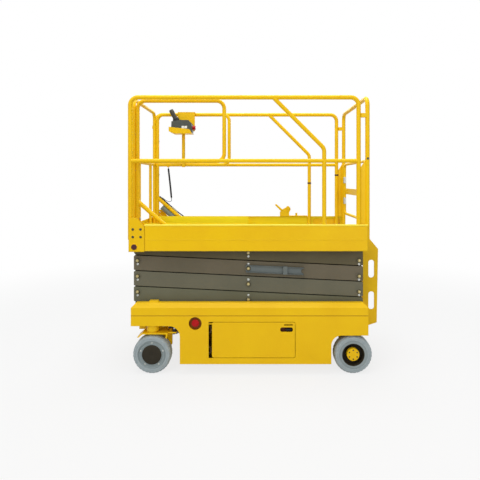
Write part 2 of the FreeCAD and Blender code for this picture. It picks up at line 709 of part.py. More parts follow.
# scissor tracks and the rear pivots on the chassis
track_half = d.roller_rad + d.track_gap
track_front = inside_front + d.seat_gap
track_web = roller_in - 2 - d.track_plate
track_open = roller_out + 3
pieces = []
for side, word in SIDES:
    low, high = d.pin_base - track_half, d.pin_base + track_half
    pieces.append(section(side, track_front, d.track_rear, [
        (track_web, d.deck_top), (track_web + d.track_plate, d.deck_top),
        (track_web + d.track_plate, low - d.track_plate), (track_open, low - d.track_plate),
        (track_open, low), (track_web + d.track_plate, low), (track_web + d.track_plate, high),
        (track_open, high), (track_open, high + d.track_plate), (track_web, high + d.track_plate)]))
    ear = [(d.pin_rear - 60, d.deck_top), (d.pin_rear + 50, d.deck_top),
           (d.pin_rear + d.ear_rad, d.pin_base + d.ear_rad), (d.pin_rear - d.ear_rad, d.pin_base + d.ear_rad)]
    inner_ear = arm_in - d.ear_gap - d.ear_plate
    outer_ear = arm_out + d.ear_gap
    pieces.append(join(
        side_plate(side, inner_ear, inner_ear + d.ear_plate, ear, [((2, 3), d.ear_rad * 0.8)]),
        side_plate(side, outer_ear, outer_ear + d.ear_plate, ear, [((2, 3), d.ear_rad * 0.8)]),
        side_rod(side, d.pin_rear, inner_ear - 4, outer_ear + d.ear_plate + 6, d.pin_base, d.pin_rad)))
finish(group(*pieces), "scissor_base")

# ladder on the rear panel
pieces = []
tools = []
for side, word in SIDES:
    near = d.ladder_mid - d.ladder_plate / 2
    far = d.ladder_mid + d.ladder_plate / 2
    pieces.append(side_plate(side, near, far, [
        (d.ladder_front, d.ladder_low), (d.ladder_rear - 105, d.ladder_low),
        (d.ladder_rear - 14, d.ladder_low + 30), (d.ladder_rear, d.ladder_top - 117),
        (d.ladder_rear - 98, d.ladder_top), (d.ladder_front, d.ladder_top)]))
    for level in (0, 1):
        middle = d.step_low + d.step_pitch * (level + 0.5) + 20
        slot_x = d.ladder_rear - 41
        tools.append(side_plate(side, near - 1, far + 1, [
            (slot_x - d.slot_wide, middle - d.slot_high / 2), (slot_x, middle - d.slot_high / 2),
            (slot_x, middle + d.slot_high / 2), (slot_x - d.slot_wide, middle + d.slot_high / 2)],
            [((0, 1, 2, 3), d.slot_wide * 0.45)]))
    for height in (d.rear_arch_top + 45, d.rear_panel_top - 45):
        pieces.append(side_box(side, d.skirt_rear, d.ladder_front + 10, near, far + 30,
                               height - 20, height + 20))
for level in (0, 1, 2):
    height = d.step_low + d.step_pitch * level
    pieces.append(box(d.ladder_front + 6, d.ladder_rear - 16, -d.ladder_mid, d.ladder_mid,
                      height - 30, height))
finish(cut(join(*pieces), *tools), "ladder")

# swing-out trays
for side, word in SIDES:
    out0, out1 = skin_in, d.body_half
    x0, x1 = d.door_front + d.hinge_gap, d.door_rear - d.door_gap
    z0, z1 = d.door_low + d.door_gap, d.door_top - d.door_gap
    leaf = side_plate(side, out0, out1, [(x0, z0), (x1, z0), (x1, z1), (x0, z1)],
                      [((0, 1, 2, 3), d.door_round - d.door_gap)])
    grip_x0, grip_x1 = d.door_rear - 143, d.door_rear - 24
    grip_z0, grip_z1 = d.door_top - 94, d.door_top - 51
    hole = side_plate(side, out0 - 1, out1 + 1, [
        (grip_x0, grip_z0), (grip_x1, grip_z0), (grip_x1, grip_z1), (grip_x0, grip_z1)],
        [((0, 1, 2, 3), (grip_z1 - grip_z0) * 0.45)])
    slot = side_box(side, grip_x1 - 81, grip_x1, out0 - 1, out1 + 1, grip_z1 + 17, grip_z1 + 34)
    cup = cut(side_box(side, grip_x0 - 8, grip_x1 + 8, out0 - 30, out0, grip_z0 - 8, grip_z1 + 8),
              side_box(side, grip_x0 - 5, grip_x1 + 5, out0 - 27, out0 + 1, grip_z0 - 5, grip_z1 + 5))
    barrels = []
    bores = []
    for height in hinge_heights:
        barrels.append(rod("z", d.hinge_x, hinge_y * side, height, d.hinge_rad, d.hinge_long))
        barrels.append(side_box(side, d.hinge_x, x0 + 8, hinge_y - 3, skin_in, height, height + d.hinge_long))
        bores.append(rod("z", d.hinge_x, hinge_y * side, height - 1, d.hinge_pin + d.run_gap,
                         d.hinge_long + 2))
    finish(cut(join(cut(leaf, hole, slot), cup, *barrels), *bores), "tray_door_" + word)
    tray_out = skin_in - 34
    base = [
        side_box(side, x0 + 6, d.tray_rear, d.tray_in, tray_out, z0, z0 + d.tray_plate),
        side_box(side, x0 + 6, x0 + 6 + d.tray_plate, d.tray_in, tray_out, z0, z0 + d.tray_wall),
        side_box(side, d.tray_rear - d.tray_plate, d.tray_rear, d.tray_in, tray_out, z0, z0 + d.tray_wall),
        side_box(side, x0 + 6, d.tray_rear, d.tray_in, d.tray_in + d.tray_plate, z0, z0 + d.tray_wall),
        side_box(side, x0 + 6, d.tray_rear, tray_out, skin_in, z0, z0 + d.tray_plate),
    ]
    finish(join(*base), "tray_" + word)
    floor = z0 + d.tray_plate
    inner = d.tray_in + d.tray_plate + 4
    if side == LEFT:
        cells = []
        first = x0 + 6 + d.tray_plate + 4
        cell_long = (d.tray_rear - d.tray_plate - 4 - first - 12) / 2
        cell_wide = (tray_out - inner - 8) / 2
        for i in (0, 1):
            for j in (0, 1):
                start = first + (cell_long + 12) * i
                near = inner + (cell_wide + 6) * j
                cells.append(side_box(side, start, start + cell_long, near, near + cell_wide, floor,
                                      floor + d.cell_high))
        finish(group(*cells), "batteries")
    else:
        start = x0 + 30
        tank_end = start + d.tank_long
        block_end = tank_end + d.valve_long
        tank = side_box(side, start, tank_end, inner, tray_out - 10, floor, floor + d.tank_high)
        block = side_box(side, tank_end, block_end, inner + 60, inner + 180, floor, floor + d.valve_high)
        motor = rod("x", block_end, (inner + 120) * side, floor + d.valve_high / 2, d.pump_rad, d.pump_long)
        finish(join(tank, block, motor), "power_unit")

# steering
yoke_in = wheel_mid - d.yoke_inner
yoke_out = wheel_mid + d.yoke_outer
for side, word in SIDES:
    fx = d.front_axle
    mid = wheel_mid
    wing_root = fx - d.yoke_wing + 48
    top = plate("xy", d.yoke_low, yoke_top, [
        (wing_root, yoke_in * side), (fx + d.yoke_half, yoke_in * side),
        (fx + d.yoke_half, (mid - 24) * side), (steer_x + 22, (mid - 24) * side),
        (steer_x + 22, (mid + 24) * side), (fx + d.yoke_half, (mid + 24) * side),
        (fx + d.yoke_half, yoke_out * side), (wing_root, yoke_out * side)])
    web = side_plate(side, yoke_in, yoke_in + d.yoke_plate, [
        (wing_root, yoke_top), (wing_root, axle_z + 60), (fx - 80, axle_z - 75), (fx + 80, axle_z - 75),
        (fx + d.yoke_rear, axle_z + 60), (fx + d.yoke_rear, yoke_top)])
    wing = side_plate(side, yoke_in, yoke_out, [
        (wing_root + 1, yoke_top), (fx - d.yoke_wing, yoke_top - d.yoke_lip),
        (fx - d.yoke_wing + d.yoke_plate, yoke_top - d.yoke_lip - 4), (wing_root + 1, d.yoke_low)])
    lip = side_plate(side, yoke_in, yoke_out, [
        (fx + d.yoke_half, yoke_top), (fx + d.yoke_half, yoke_top - 6),
        (fx + d.yoke_half - 8, d.yoke_low - d.yoke_lip),
        (fx + d.yoke_half - 20, d.yoke_low - d.yoke_lip + 6), (fx + d.yoke_half - 14, yoke_top)])
    finish(join(
        top, web, wing, lip,
        rod("z", fx, mid * side, yoke_top, d.boss_rad - 6, d.boss_low - yoke_top - d.run_gap),
        rod("z", fx, mid * side, yoke_top, d.king_rad, deck_low - yoke_top - 12),
        rod("z", steer_x, mid * side, yoke_top, d.tie_pin, 26),
        side_rod(side, fx, yoke_in, mid + 32, axle_z, d.spindle_rad),
        side_rod(side, fx, yoke_in - d.motor_long, yoke_in, axle_z, d.motor_rad),
    ), "knuckle_" + word)

tie_low = yoke_top + 2
tie_mid = tie_low + 9
eyes = []
bores = []
for side, word in SIDES:
    eyes.append(rod("z", steer_x, wheel_mid * side, tie_low, d.tie_pin * 2.2, 18))
    bores.append(rod("z", steer_x, wheel_mid * side, tie_low - 1, d.tie_pin + d.run_gap, 20))
bar = rod("y", steer_x, -wheel_mid, tie_mid, d.tie_rad - 3, wheel_mid * 2)
finish(cut(join(bar, *eyes), *bores), "tie_rod")

# wheels
half = d.wheel_width / 2
bore = d.spindle_rad + d.run_gap
for where, x in (("front", d.front_axle), ("rear", rear_axle)):
    for side, word in SIDES:
        at = (x, wheel_mid * side, axle_z)
        edge = d.wheel_dia / 2
        shoulder = d.tyre_round
        tyre = [
            (-half, d.rim_rad + d.seat_gap), (-half, edge - shoulder * 1.6),
            (-half + shoulder * 0.4, edge - shoulder * 0.5), (-half + shoulder * 1.4, edge),
            (half - shoulder * 1.4, edge), (half - shoulder * 0.4, edge - shoulder * 0.5),
            (half, edge - shoulder * 1.6), (half, d.rim_rad + d.seat_gap)]
        finish(turned(at, tyre), "tyre_%s_%s" % (where, word))
        if where == "front":
            lip = d.rim_rad - 8
            shape = [
                (-half + 5, lip), (-half + 5, d.rim_rad), (half - 3, d.rim_rad), (half - 3, lip),
                (half - 10, lip), (half - 10, d.hub_cover), (half - 5, d.hub_cover), (half - 5, 0),
                (half - 14, 0), (half - 14, bore), (-28, bore), (-28, 60), (half - 18, 60), (half - 18, lip)]
        else:
            lip = d.rim_rad - 28
            shape = [
                (-half + 5, lip), (-half + 5, d.rim_rad), (half - 3, d.rim_rad), (half - 3, lip), (-20, lip),
                (-20, 56), (half - 8, 56), (half - 8, 0), (half - 16, 0), (half - 16, bore), (-30, bore),
                (-30, lip)]
        finish(turned(at, [(size(a) * side, b) for a, b in shape]), "rim_%s_%s" % (where, word))

# scissor stack
span = d.pin_rear - d.pin_front


def arm(side, near, far, front_z, rear_z, bushes, bored, front_round, rear_round):
    """One hollow arm between the middle heights at its front and rear end, with a bush at each pin."""
    half_depth = d.arm_depth / 2
    x0, x1 = d.pin_front - d.arm_end, d.pin_rear + d.arm_end
    shell = side_plate(side, near, far, [
        (x0, front_z - half_depth), (x1, rear_z - half_depth), (x1, rear_z + half_depth),
        (x0, front_z + half_depth)], [((0, 3), front_round), ((1, 2), rear_round)])
    bore_x0, bore_x1 = x0 + d.arm_round, x1 - d.arm_round
    half_bore = half_depth - d.arm_wall
    hollow = side_plate(side, near + d.arm_wall, far - d.arm_wall, [
        (bore_x0, front_z - half_bore), (bore_x1, rear_z - half_bore), (bore_x1, rear_z + half_bore),
        (bore_x0, front_z + half_bore)])
    rings = [side_rod(side, x, near - d.hub_proud, far + d.hub_proud, z, d.hub_rad) for x, z in bushes]
    whole = join(cut(shell, hollow), *rings)
    if not bored:
        return whole
    return cut(whole, *[side_rod(side, x, near - d.hub_proud - 1, far + d.hub_proud + 1, z,
                                 d.pin_rad + d.run_gap) for x, z in bored])


for level in range(4):
    low, high = pin_z(level), pin_z(level + 1)
    middle = pin_z(level + 0.5)
    # outer arms fall to the rear and carry the shafts
    ends = [(d.pin_front, high), (pin_mid, middle), (d.pin_rear, low)]
    outer = [arm(side, arm_in, arm_out, high - d.pin_offset, low + d.pin_offset, ends,
                 ends[2:] if level == 0 else [], d.arm_round if level == 3 else d.arm_corner,
                 d.arm_corner) for side, word in SIDES]
    reach = arm_out + d.hub_proud + 4
    shafts = []
    if level < 3:
        shafts.append(rod("y", d.pin_front, -reach, high, d.pin_rad, reach * 2))
    if level > 0:
        shafts.append(rod("y", d.pin_rear, -reach, low, d.pin_rad, reach * 2))
    for side, word in SIDES:
        shafts.append(side_rod(side, pin_mid, inner_in - 6, reach, middle, d.pin_rad))
        if level == 3:
            # the upper rollers turn on stubs, clear of the tracks' webs
            shafts.append(side_rod(side, d.pin_front, roller_in, reach, high, d.pin_rad))
            shafts.append(side_rod(side, d.pin_front, roller_in, roller_out, high, d.roller_rad))
    finish(join(*outer, *shafts), "outer_arms_%d" % (level + 1))
    # inner arms rise to the rear and are joined by cross tubes
    front_z, rear_z = low + d.pin_offset, high - d.pin_offset
    ends = [(d.pin_front, low), (pin_mid, middle), (d.pin_rear, high)]
    inner = [arm(side, inner_in, inner_out, front_z, rear_z, ends, ends[1:] if level == 0 else ends,
                 d.arm_round, d.arm_round) for side, word in SIDES]
    tubes = []
    for x, rise in ((d.tube_front, d.tube_rise if level == 0 else size(0)), (d.tube_rear, size(0))):
        height = front_z + (rear_z - front_z) * (x - d.pin_front) / span + rise
        tubes.append(cut(rod("y", x, -inner_in - 1, height, d.tube_rad, inner_in * 2 + 2),
                         rod("y", x, -inner_in, height, d.tube_rad - d.tube_wall, inner_in * 2)))
    if level == 0:
        height = front_z + (rear_z - front_z) * (d.tube_front - d.pin_front) / span + d.tube_rise
        for side, word in SIDES:
            tubes.append(side_rod(side, d.pin_front, roller_in, inner_out, low, d.pin_rad))
            tubes.append(side_rod(side, d.pin_front, roller_in, roller_out, low, d.roller_rad))
            tubes.append(join(
                side_plate(side, d.ram_ear_in, d.ram_ear_in + d.ear_plate, [
                    (d.tube_front - 22, height - 30), (d.ram_head_x - 30, d.ram_head_z - d.ram_eye),
                    (d.ram_head_x + d.ram_eye, d.ram_head_z - d.ram_eye),
                    (d.ram_head_x + d.ram_eye, d.ram_head_z + d.ram_eye),
                    (d.tube_front - 22, height + 30)], [((2, 3), d.ram_eye * 0.8)]),
                side_rod(side, d.ram_head_x, d.ram_ear_in + d.ear_plate - 1, d.ram_ear_in + d.ear_plate + 10,
                         d.ram_head_z, d.ram_pin)))
    finish(join(*inner, *tubes), "inner_arms_%d" % (level + 1))

# lift cylinder
foot = Vector(float(d.ram_x), 0, float(d.ram_z))
head = Vector(float(d.ram_head_x), 0, float(d.ram_head_z))
ram_way = (head - foot).normalize()
ram_span = (head - foot).Length


def slanted(start, radius, length):
    """A cylinder along the lift cylinder's axis, a distance from its foot."""
    item = doc.addObject("Part::Cylinder", "Round")
    bind(item, "Radius", radius)
    bind(item, "Height", length)
    turn = FreeCAD.Rotation(Vector(0, 0, 1), ram_way)
    item.Placement = FreeCAD.Placement(foot + ram_way * float(start), turn)
    return item


eye_wide = d.ram_eye_half * 2
finish(cut(
    join(slanted(60, d.ram_rad, d.ram_long - 60), slanted(0, d.ram_rod, 62),
         rod("y", d.ram_x, -d.ram_eye_half, d.ram_z, d.ram_eye, eye_wide)),
    slanted(95, d.ram_rod + d.run_gap, d.ram_long),
    rod("y", d.ram_x, -d.ram_eye_half - 1, d.ram_z, d.ram_pin + d.run_gap, eye_wide + 2),
), "lift_cylinder_barrel")
finish(join(
    slanted(130, d.ram_rod, size(ram_span) - 130 - d.ram_eye / 2),
    rod("y", d.ram_head_x, -d.ram_eye_half, d.ram_head_z, d.ram_eye, eye_wide),
), "lift_cylinder_rod")

# safety prop on the third outer arm of the near side: a channel with a forked end, held by a clip
slope = (d.pin_pitch - d.pin_offset * 2) / span
prop_z = pin_z(2.5)
prop_in = arm_out + d.hub_proud + 5
prop_end = pin_mid + d.prop_long
prop_fall = slope * d.prop_long
half_high = d.prop_high / 2


def prop_strip(near, far, low, high):
    """A strip along the prop, between two heights above its middle line."""
    return side_plate(LEFT, prop_in + near, prop_in + far, [
        (pin_mid - 25, prop_z + low), (prop_end, prop_z + low - prop_fall),
        (prop_end, prop_z + high - prop_fall), (pin_mid - 25, prop_z + high)])


clip_x = prop_end - d.clip_back
clip_end = clip_x + d.clip_wide
clip_z = prop_z - slope * (d.prop_long - d.clip_back)
clip_out = prop_in + d.prop_deep + 4
finish(join(
    cut(join(prop_strip(0, 4, -half_high, half_high), prop_strip(0, d.prop_deep, half_high - 4, half_high),
             prop_strip(0, d.prop_deep, -half_high, 4 - half_high)),
        side_rod(LEFT, prop_end, prop_in - 1, prop_in + 5, prop_z - prop_fall, d.pin_rad)),
    side_box(LEFT, clip_x, clip_end, arm_out, prop_in + 1, clip_z - 20, clip_z + 20),
    side_box(LEFT, clip_x, clip_end, prop_in + 3, clip_out, clip_z + half_high - 6, clip_z + half_high + 4),
    side_box(LEFT, clip_x, clip_end, clip_out - 4, clip_out, clip_z - half_high - 4, clip_z + half_high + 4),
), "safety_prop")

# platform
floor_top = d.floor_low + d.floor_plate
web_in = beam_half - d.beam_plate
tread_half = beam_half - d.ext_inset - d.seat_gap
pieces = [
    box(d.corner_front, d.deck_rear, -web_in, web_in, d.floor_low, floor_top),
    box(d.deck_rear - d.floor_plate, d.deck_rear, -web_in, web_in, d.floor_low - 43, d.floor_low),
    # tread sheet on the part of the floor that the roll-out deck leaves open
    box(d.ext_rear + d.tread_gap, d.deck_rear - d.tread_back, -tread_half, tread_half, floor_top,
        floor_top + d.tread_sheet),
]
recess_x0, recess_x1 = d.brace_foot + 46, d.rail_rear + 50
recess_high = d.recess_low + 70
tools = [side_plate(RIGHT, web_in - 1, web_in + 2, [
    (recess_x0, d.recess_low), (recess_x1, d.recess_low), (recess_x1, recess_high), (recess_x0, recess_high)],
    [((0, 1, 2, 3), 20)])]
for side, word in SIDES:
    lip = beam_half - 30
    pieces.append(section(side, d.corner_front, d.deck_rear, [
        (beam_half, d.beam_low), (beam_half, d.beam_top), (lip, d.beam_top),
        (lip, d.beam_top - d.beam_plate), (web_in, d.beam_top - d.beam_plate),
        (web_in, d.beam_low + d.beam_plate),
        (beam_half - d.beam_lip, d.beam_low + d.beam_plate), (beam_half - d.beam_lip, d.beam_low)]))
    pieces.append(side_plate(side, beam_half, beam_half + d.corner_plate, [
        (d.corner_front, d.beam_low - 6), (d.corner_rear, d.beam_low - 6), (d.corner_rear, d.beam_top - 4),
        (d.corner_rear - 74, d.corner_top), (d.corner_front, d.corner_top)]))
    low, high = pin_z(4) - track_half, pin_z(4) + track_half
    pieces.append(section(side, track_front, d.track_rear, [
        (track_web, low - d.track_plate), (track_open, low - d.track_plate), (track_open, low),
        (track_web + d.track_plate, low), (track_web + d.track_plate, high), (track_open, high),
        (track_open, high + d.track_plate), (track_web + d.track_plate, high + d.track_plate),
        (track_web + d.track_plate, d.floor_low), (track_web, d.floor_low)]))
    ear = [(d.pin_rear - d.ear_rad, pin_z(4) - d.ear_rad), (d.pin_rear + d.ear_rad, pin_z(4) - d.ear_rad),
           (d.pin_rear + 50, d.floor_low), (d.pin_rear - 60, d.floor_low)]
    inner_ear = inner_in - d.ear_gap - d.ear_plate
    outer_ear = inner_out + d.ear_gap
    for near in (inner_ear, outer_ear):
        pieces.append(side_plate(side, near, near + d.ear_plate, ear, [((0, 1), d.ear_rad * 0.8)]))
    pieces.append(side_rod(side, d.pin_rear, inner_ear - 6, outer_ear + d.ear_plate + 4, pin_z(4), d.pin_rad))
    for x, y in ((d.rail_front, rail_mid_y), (d.brace_foot, rail_mid_y), (d.rail_rear, rail_mid_y),
                 (d.hoop_rear, hoop_mid_y)):
        tools.append(rod("z", x, y * side, floor_top, d.rail_rad + 0.5, d.beam_top - floor_top + 1))
finish(cut(join(*pieces), *tools), "platform_frame")

# side rails
for side, word in SIDES:
    y = rail_mid_y * side
    foot_z = floor_top
    finish(join(
        pipe([(d.rail_front, y, foot_z), (d.rail_front, y, d.rail_top), (d.rail_rear, y, d.rail_top),
              (d.rail_rear, y, foot_z)], d.rail_rad, d.rail_bend),
        rod("x", d.rail_front, y, rail_half, d.rail_rad - 2, d.rail_rear - d.rail_front),
        pipe([(d.brace_head, y, d.rail_top), (d.brace_foot, y, d.rail_top - d.brace_foot + d.brace_head),
              (d.brace_foot, y, foot_z)], d.rail_rad - 1, d.rail_bend),
    ), "side_rail_" + word)

# rear hoop with its clamps and latch plates
y = hoop_mid_y
pieces = [pipe([(d.hoop_rear, -y, floor_top), (d.hoop_rear, -y, d.rail_top), (d.hoop_rear, y, d.rail_top),
                (d.hoop_rear, y, floor_top)], d.rail_rad, d.rail_bend)]
clamp_x = d.rail_rear + d.rail_rad + d.seat_gap
for side, word in SIDES:
    pieces.append(side_box(side, clamp_x, d.hoop_rear, hoop_mid_y - 14, hoop_mid_y + 18, d.rail_top - 190,
                           d.rail_top - 150))
    pieces.append(side_plate(side, hoop_mid_y, hoop_mid_y + 6, [
        (clamp_x, d.beam_top + d.seat_gap), (d.hoop_rear, d.beam_top + d.seat_gap),
        (d.hoop_rear, rail_half + 40),
        (clamp_x, rail_half - 60)]))
hinge_r = 6
tab_r = 8
gate_hinge = hoop_mid_y - d.gate_hinge_gap
low_z, high_z = d.gate_low, rail_half
gate_high = high_z - low_z
hinge_heights = (low_z + gate_high / 4, low_z + gate_high * 2 / 3)
for height in hinge_heights:
    pieces.append(rod("z", d.hoop_rear, gate_hinge, height - 10, tab_r, 8))
    pieces.append(box(d.hoop_rear - tab_r, d.hoop_rear + tab_r, gate_hinge, hoop_mid_y,
                      height - 10, height - 2))
    pieces.append(rod("z", d.hoop_rear, gate_hinge, height - 4, hinge_r, 52))
finish(join(*pieces), "rear_hoop")

gate_side = gate_hinge - d.gate_stile_gap
gate_free = d.gate_free_gap - hoop_mid_y
bar_z = (low_z + high_z) / 2 - d.gate_bar_drop
pieces = [
    pipe([(d.hoop_rear, 0, low_z), (d.hoop_rear, gate_free, low_z), (d.hoop_rear, gate_free, high_z),
          (d.hoop_rear, gate_side, high_z), (d.hoop_rear, gate_side, low_z), (d.hoop_rear, 0, low_z)],
         d.gate_rad, d.rail_bend * d.gate_rad / d.rail_rad),
    box(d.hoop_rear - 5, d.hoop_rear + 5, gate_free, gate_side, bar_z - 33, bar_z + 33),
]
tools = []
for height in hinge_heights:
    pieces.append(rod("z", d.hoop_rear, gate_hinge, height, 11, 40))
    pieces.append(box(d.hoop_rear - 4, d.hoop_rear + 4, gate_side, gate_hinge, height, height + 40))
    tools.append(rod("z", d.hoop_rear, gate_hinge, height - 1, hinge_r + d.run_gap, 42))
finish(cut(join(*pieces), *tools), "entry_gate")

# foot lock on the far toe board: a housing, a pedal that leans to the front, and a knob
lock_y = web_in - 38
lock_z = d.beam_top + d.seat_gap
lock_top = lock_z + d.lock_high
lock_x = d.lock_front
lock_rear = lock_x + d.lock_long
lip_x = lock_rear + d.lock_lip
finish(join(
    side_plate(RIGHT, lock_y, lock_y + d.lock_wide, [
        (lock_x, lock_z), (lock_rear, lock_z), (lock_rear, lock_z + d.lock_step),
        (lip_x, lock_z + d.lock_neck), (lip_x, lock_top), (lock_x + d.lock_head, lock_top),
        (lock_x + d.lock_brow, lock_z + d.pedal_low + 24), (lock_x, lock_z + d.lock_step)],
        [((3, 4, 5), 8)]),
    side_plate(RIGHT, lock_y - 6, lock_y + d.pedal_wide, [
        (lock_x - d.pedal_reach, lock_z + d.pedal_high - d.pedal_plate),
        (lock_x - d.pedal_reach + 17, lock_z + d.pedal_high),
        (lock_x + d.pedal_root, lock_z + d.pedal_low + 24),
        (lock_x + d.pedal_root - 15, lock_z + d.pedal_low)], [((0, 1), 5)]),
    side_rod(RIGHT, lock_x + d.knob_back, lock_y - 8, lock_y + d.lock_wide + 4, lock_top - 2, d.knob_rad),
    box(lock_rear - 1, lip_x + d.strip_long, lock_y, lock_y + d.pedal_wide, lock_z, lock_z + d.strip_plate),
    box(lip_x + d.peg_gap, lip_x + d.peg_gap + d.peg_long, lock_y, lock_y + 6, lock_z, lock_z + d.peg_high),
), "deck_lock")

# roll-out deck
ext_half = beam_half - d.ext_inset
ext_rail_y = ext_half - d.ext_rail_inset
ext_low = floor_top + d.ext_gap
ext_top = ext_low + d.ext_plate
pieces = [
    box(d.ext_front, d.ext_rear, -ext_half, ext_half, ext_low, ext_top),
    box(d.ext_front, d.ext_front + d.ext_plate, -ext_half, ext_half, ext_low, d.beam_top),
]
for side, word in SIDES:
    pieces.append(side_box(side, d.corner_front + 20, d.ext_rear, ext_half - 60, ext_half - 20,
                           floor_top + d.seat_gap, ext_low))
finish(join(*pieces), "rollout_deck")

y = ext_rail_y
row_z = d.rail_top - d.ext_drop
row_x = d.ext_post + d.ext_rad * 2 - 1
brace_top = ext_top + d.ext_brace_high
pieces = [
    pipe([(d.ext_post, -y, ext_top), (d.ext_post, -y, d.rail_top), (d.ext_post, y, d.rail_top),
          (d.ext_post, y, ext_top)], d.ext_rad, d.rail_bend),
    rod("y", d.ext_post, -y, rail_half, d.ext_rad - 2, y * 2),
]
socket_z = rail_half - d.ext_rad - 10
for side, word in SIDES:
    row_y = y * side
    pieces.append(pipe([(row_x, row_y, ext_top), (row_x, row_y, row_z), (d.ext_tail, row_y, row_z),
                        (d.ext_tail, row_y, rail_half), (row_x, row_y, rail_half)],
                       d.ext_rad, d.rail_bend))
    pieces.append(rod("z", d.ext_post, d.ext_inner * side, ext_top, d.ext_rad - 3, rail_half - ext_top))
    pieces.append(pipe([(row_x, row_y, brace_top), (row_x + d.ext_brace_run, row_y, ext_top)], d.brace_rad))
    pieces.append(side_plate(side, y - 2, y + 2, [
        (row_x, ext_top), (row_x + 205, ext_top), (row_x, ext_top + 180)]))
    pieces.append(side_box(side, d.ext_post - 24, d.ext_post + 10, y - 9, y + 9, d.rail_top - 180,
                           d.rail_top - 145))
pieces.append(rod("z", d.cable_x, y, socket_z, d.curl_rad + 3, d.ext_rad))
finish(cut(join(*pieces), box(d.ext_front, row_x + d.ext_brace_run + 60, -ext_half, ext_half,
                              ext_low - 60, ext_top)), "rollout_rail")

# control box on the far rail
box_out = ext_rail_y - d.box_inset
box_in = box_out - d.box_wide
box_top = d.rail_top - d.box_drop
box_low = box_top - d.box_high
cradle_in = box_in - d.box_wall - d.seat_gap
cradle_out = box_out + d.box_wall + d.seat_gap
cradle_low = box_low - d.box_wall - d.seat_gap
post_x = (d.box_front + d.box_rear) / 2
post_y = y - d.ext_rad - d.seat_gap - d.ext_rad
side_outline = [
    (d.box_front - 26, cradle_low + 25), (d.box_front + 24, cradle_low), (d.box_rear, cradle_low),
    (d.box_rear - 30, cradle_low + 48), (d.box_front - 26, cradle_low + 75)]
finish(join(
    side_plate(RIGHT, cradle_in, cradle_in + d.box_wall, side_outline),
    side_plate(RIGHT, cradle_out - d.box_wall, cradle_out, side_outline),
    box(d.box_front + 24, d.box_rear, cradle_in, cradle_out, cradle_low, cradle_low + d.box_wall),
    box(d.box_front - 26, d.box_front - 26 + d.box_wall, cradle_in, cradle_out, cradle_low + 25,
        cradle_low + 75),
    side_plate(RIGHT, cradle_out - d.box_wall, cradle_out, [
        (d.box_front + 52, cradle_low + 40), (d.box_rear + 15, cradle_low + 40),
        (d.box_rear + 15, row_z + d.ext_rad + 4), (d.box_front + 52, row_z + d.ext_rad + 4)]),
    box(d.box_front + 52, d.box_rear + 15, cradle_out - d.box_wall, y + 10, row_z + d.ext_rad + d.seat_gap,
        row_z + d.ext_rad + 4),
    rod("z", post_x, post_y, rail_half - 30, d.ext_rad, cradle_low - rail_half + 30),
), "control_cradle")
grip_foot = Vector(float(d.box_front) + 50, float(box_in + box_out) / 2, float(box_top))
grip_way = Vector(-0.46, 0, 0.89)


def leaning(start, radius, length):
    """A round piece along the leaning grip of the control box."""
    item = doc.addObject("Part::Cylinder", "Round")
    bind(item, "Radius", radius)
    bind(item, "Height", length)
    turn = FreeCAD.Rotation(Vector(0, 0, 1), grip_way)
    item.Placement = FreeCAD.Placement(grip_foot + grip_way * start, turn)
    return item


box_y = (box_in + box_out) / 2
finish(cut(
    join(
        side_plate(RIGHT, box_in, box_out, [
            (d.box_front, box_low + 28), (d.box_front + 28, box_low), (d.box_rear - 2, box_low),
            (d.box_rear, box_top - 84), (d.box_rear - 5, box_top - 40), (d.box_rear - 41, box_top),
            (d.box_front + 95, box_top), (d.box_front + 4, box_top - 14)], [((4, 5), 20)]),
        leaning(-12, d.boot_rad, 38),
        leaning(20, d.grip_rad, 118),
        rod("x", d.box_rear - 6, box_y, box_top - 82, d.grip_rad - 2, 38),
    ),
    box(d.box_rear - 118, d.box_rear - 55, box_in - 1, box_out + 1, box_top - 96, box_top - 66),
), "control_box")

# curly cable from the mid rail, its plain tail, and the cable laid on the brace
cord("control_cable", [
    (d.cable_x, y, socket_z - 1.6), (d.cable_x + 13, y, 1860), (d.cable_x + 31, y, 1700),
    (d.cable_x + 38, y, 1605)], d.curl_rad)
cord("cable_tail", [
    (-1003, y, 1604), (-1003, y, 1580), (-1028, y, 1570), (-1072, y, 1590), (-1109.5, y, 1622)], d.wire_rad)
cord("brace_cable", [
    (-1142, y, 1637.5), (-1072, y, 1576), (-997, y, 1511), (-929, y, 1452), (-862, y, 1404), (-788, y, 1340),
    (-721, y, 1276.5)], d.loom_rad)

# rolled papers in a tube under the far brace
brace_way = Vector(float(d.ext_brace_run), 0, -float(d.ext_brace_high)).normalize()
brace_down = Vector(brace_way.z, 0, -brace_way.x)
tube_start = (Vector(float(row_x), float(y), float(brace_top)) + brace_way * 112
              + brace_down * float(d.brace_rad + d.holder_rad + d.seat_gap))
holder = doc.addObject("Part::Cylinder", "Round")
bind(holder, "Radius", d.holder_rad)
bind(holder, "Height", d.holder_long)
holder.Placement = FreeCAD.Placement(tube_start, FreeCAD.Rotation(Vector(0, 0, 1), brace_way))
finish(holder, "document_tube")

doc.recompute()
for item in doc.Objects:
    if "Invalid" in item.State or "Error" in item.State:
        raise ValueError("%s (%s) did not build: %s" % (item.Name, item.Label, item.State))
for item in nodes:
    shape = item.Shape
    if shape.isNull() or not shape.isValid() or not shape.Solids:
        raise ValueError("bad shape: " + item.Label)
os.makedirs("parts", exist_ok=True)
for item in nodes:
    item.Shape.exportStep("parts/%s.step" % item.Label)
print(len(nodes), "sub-parts")
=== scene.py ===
import math

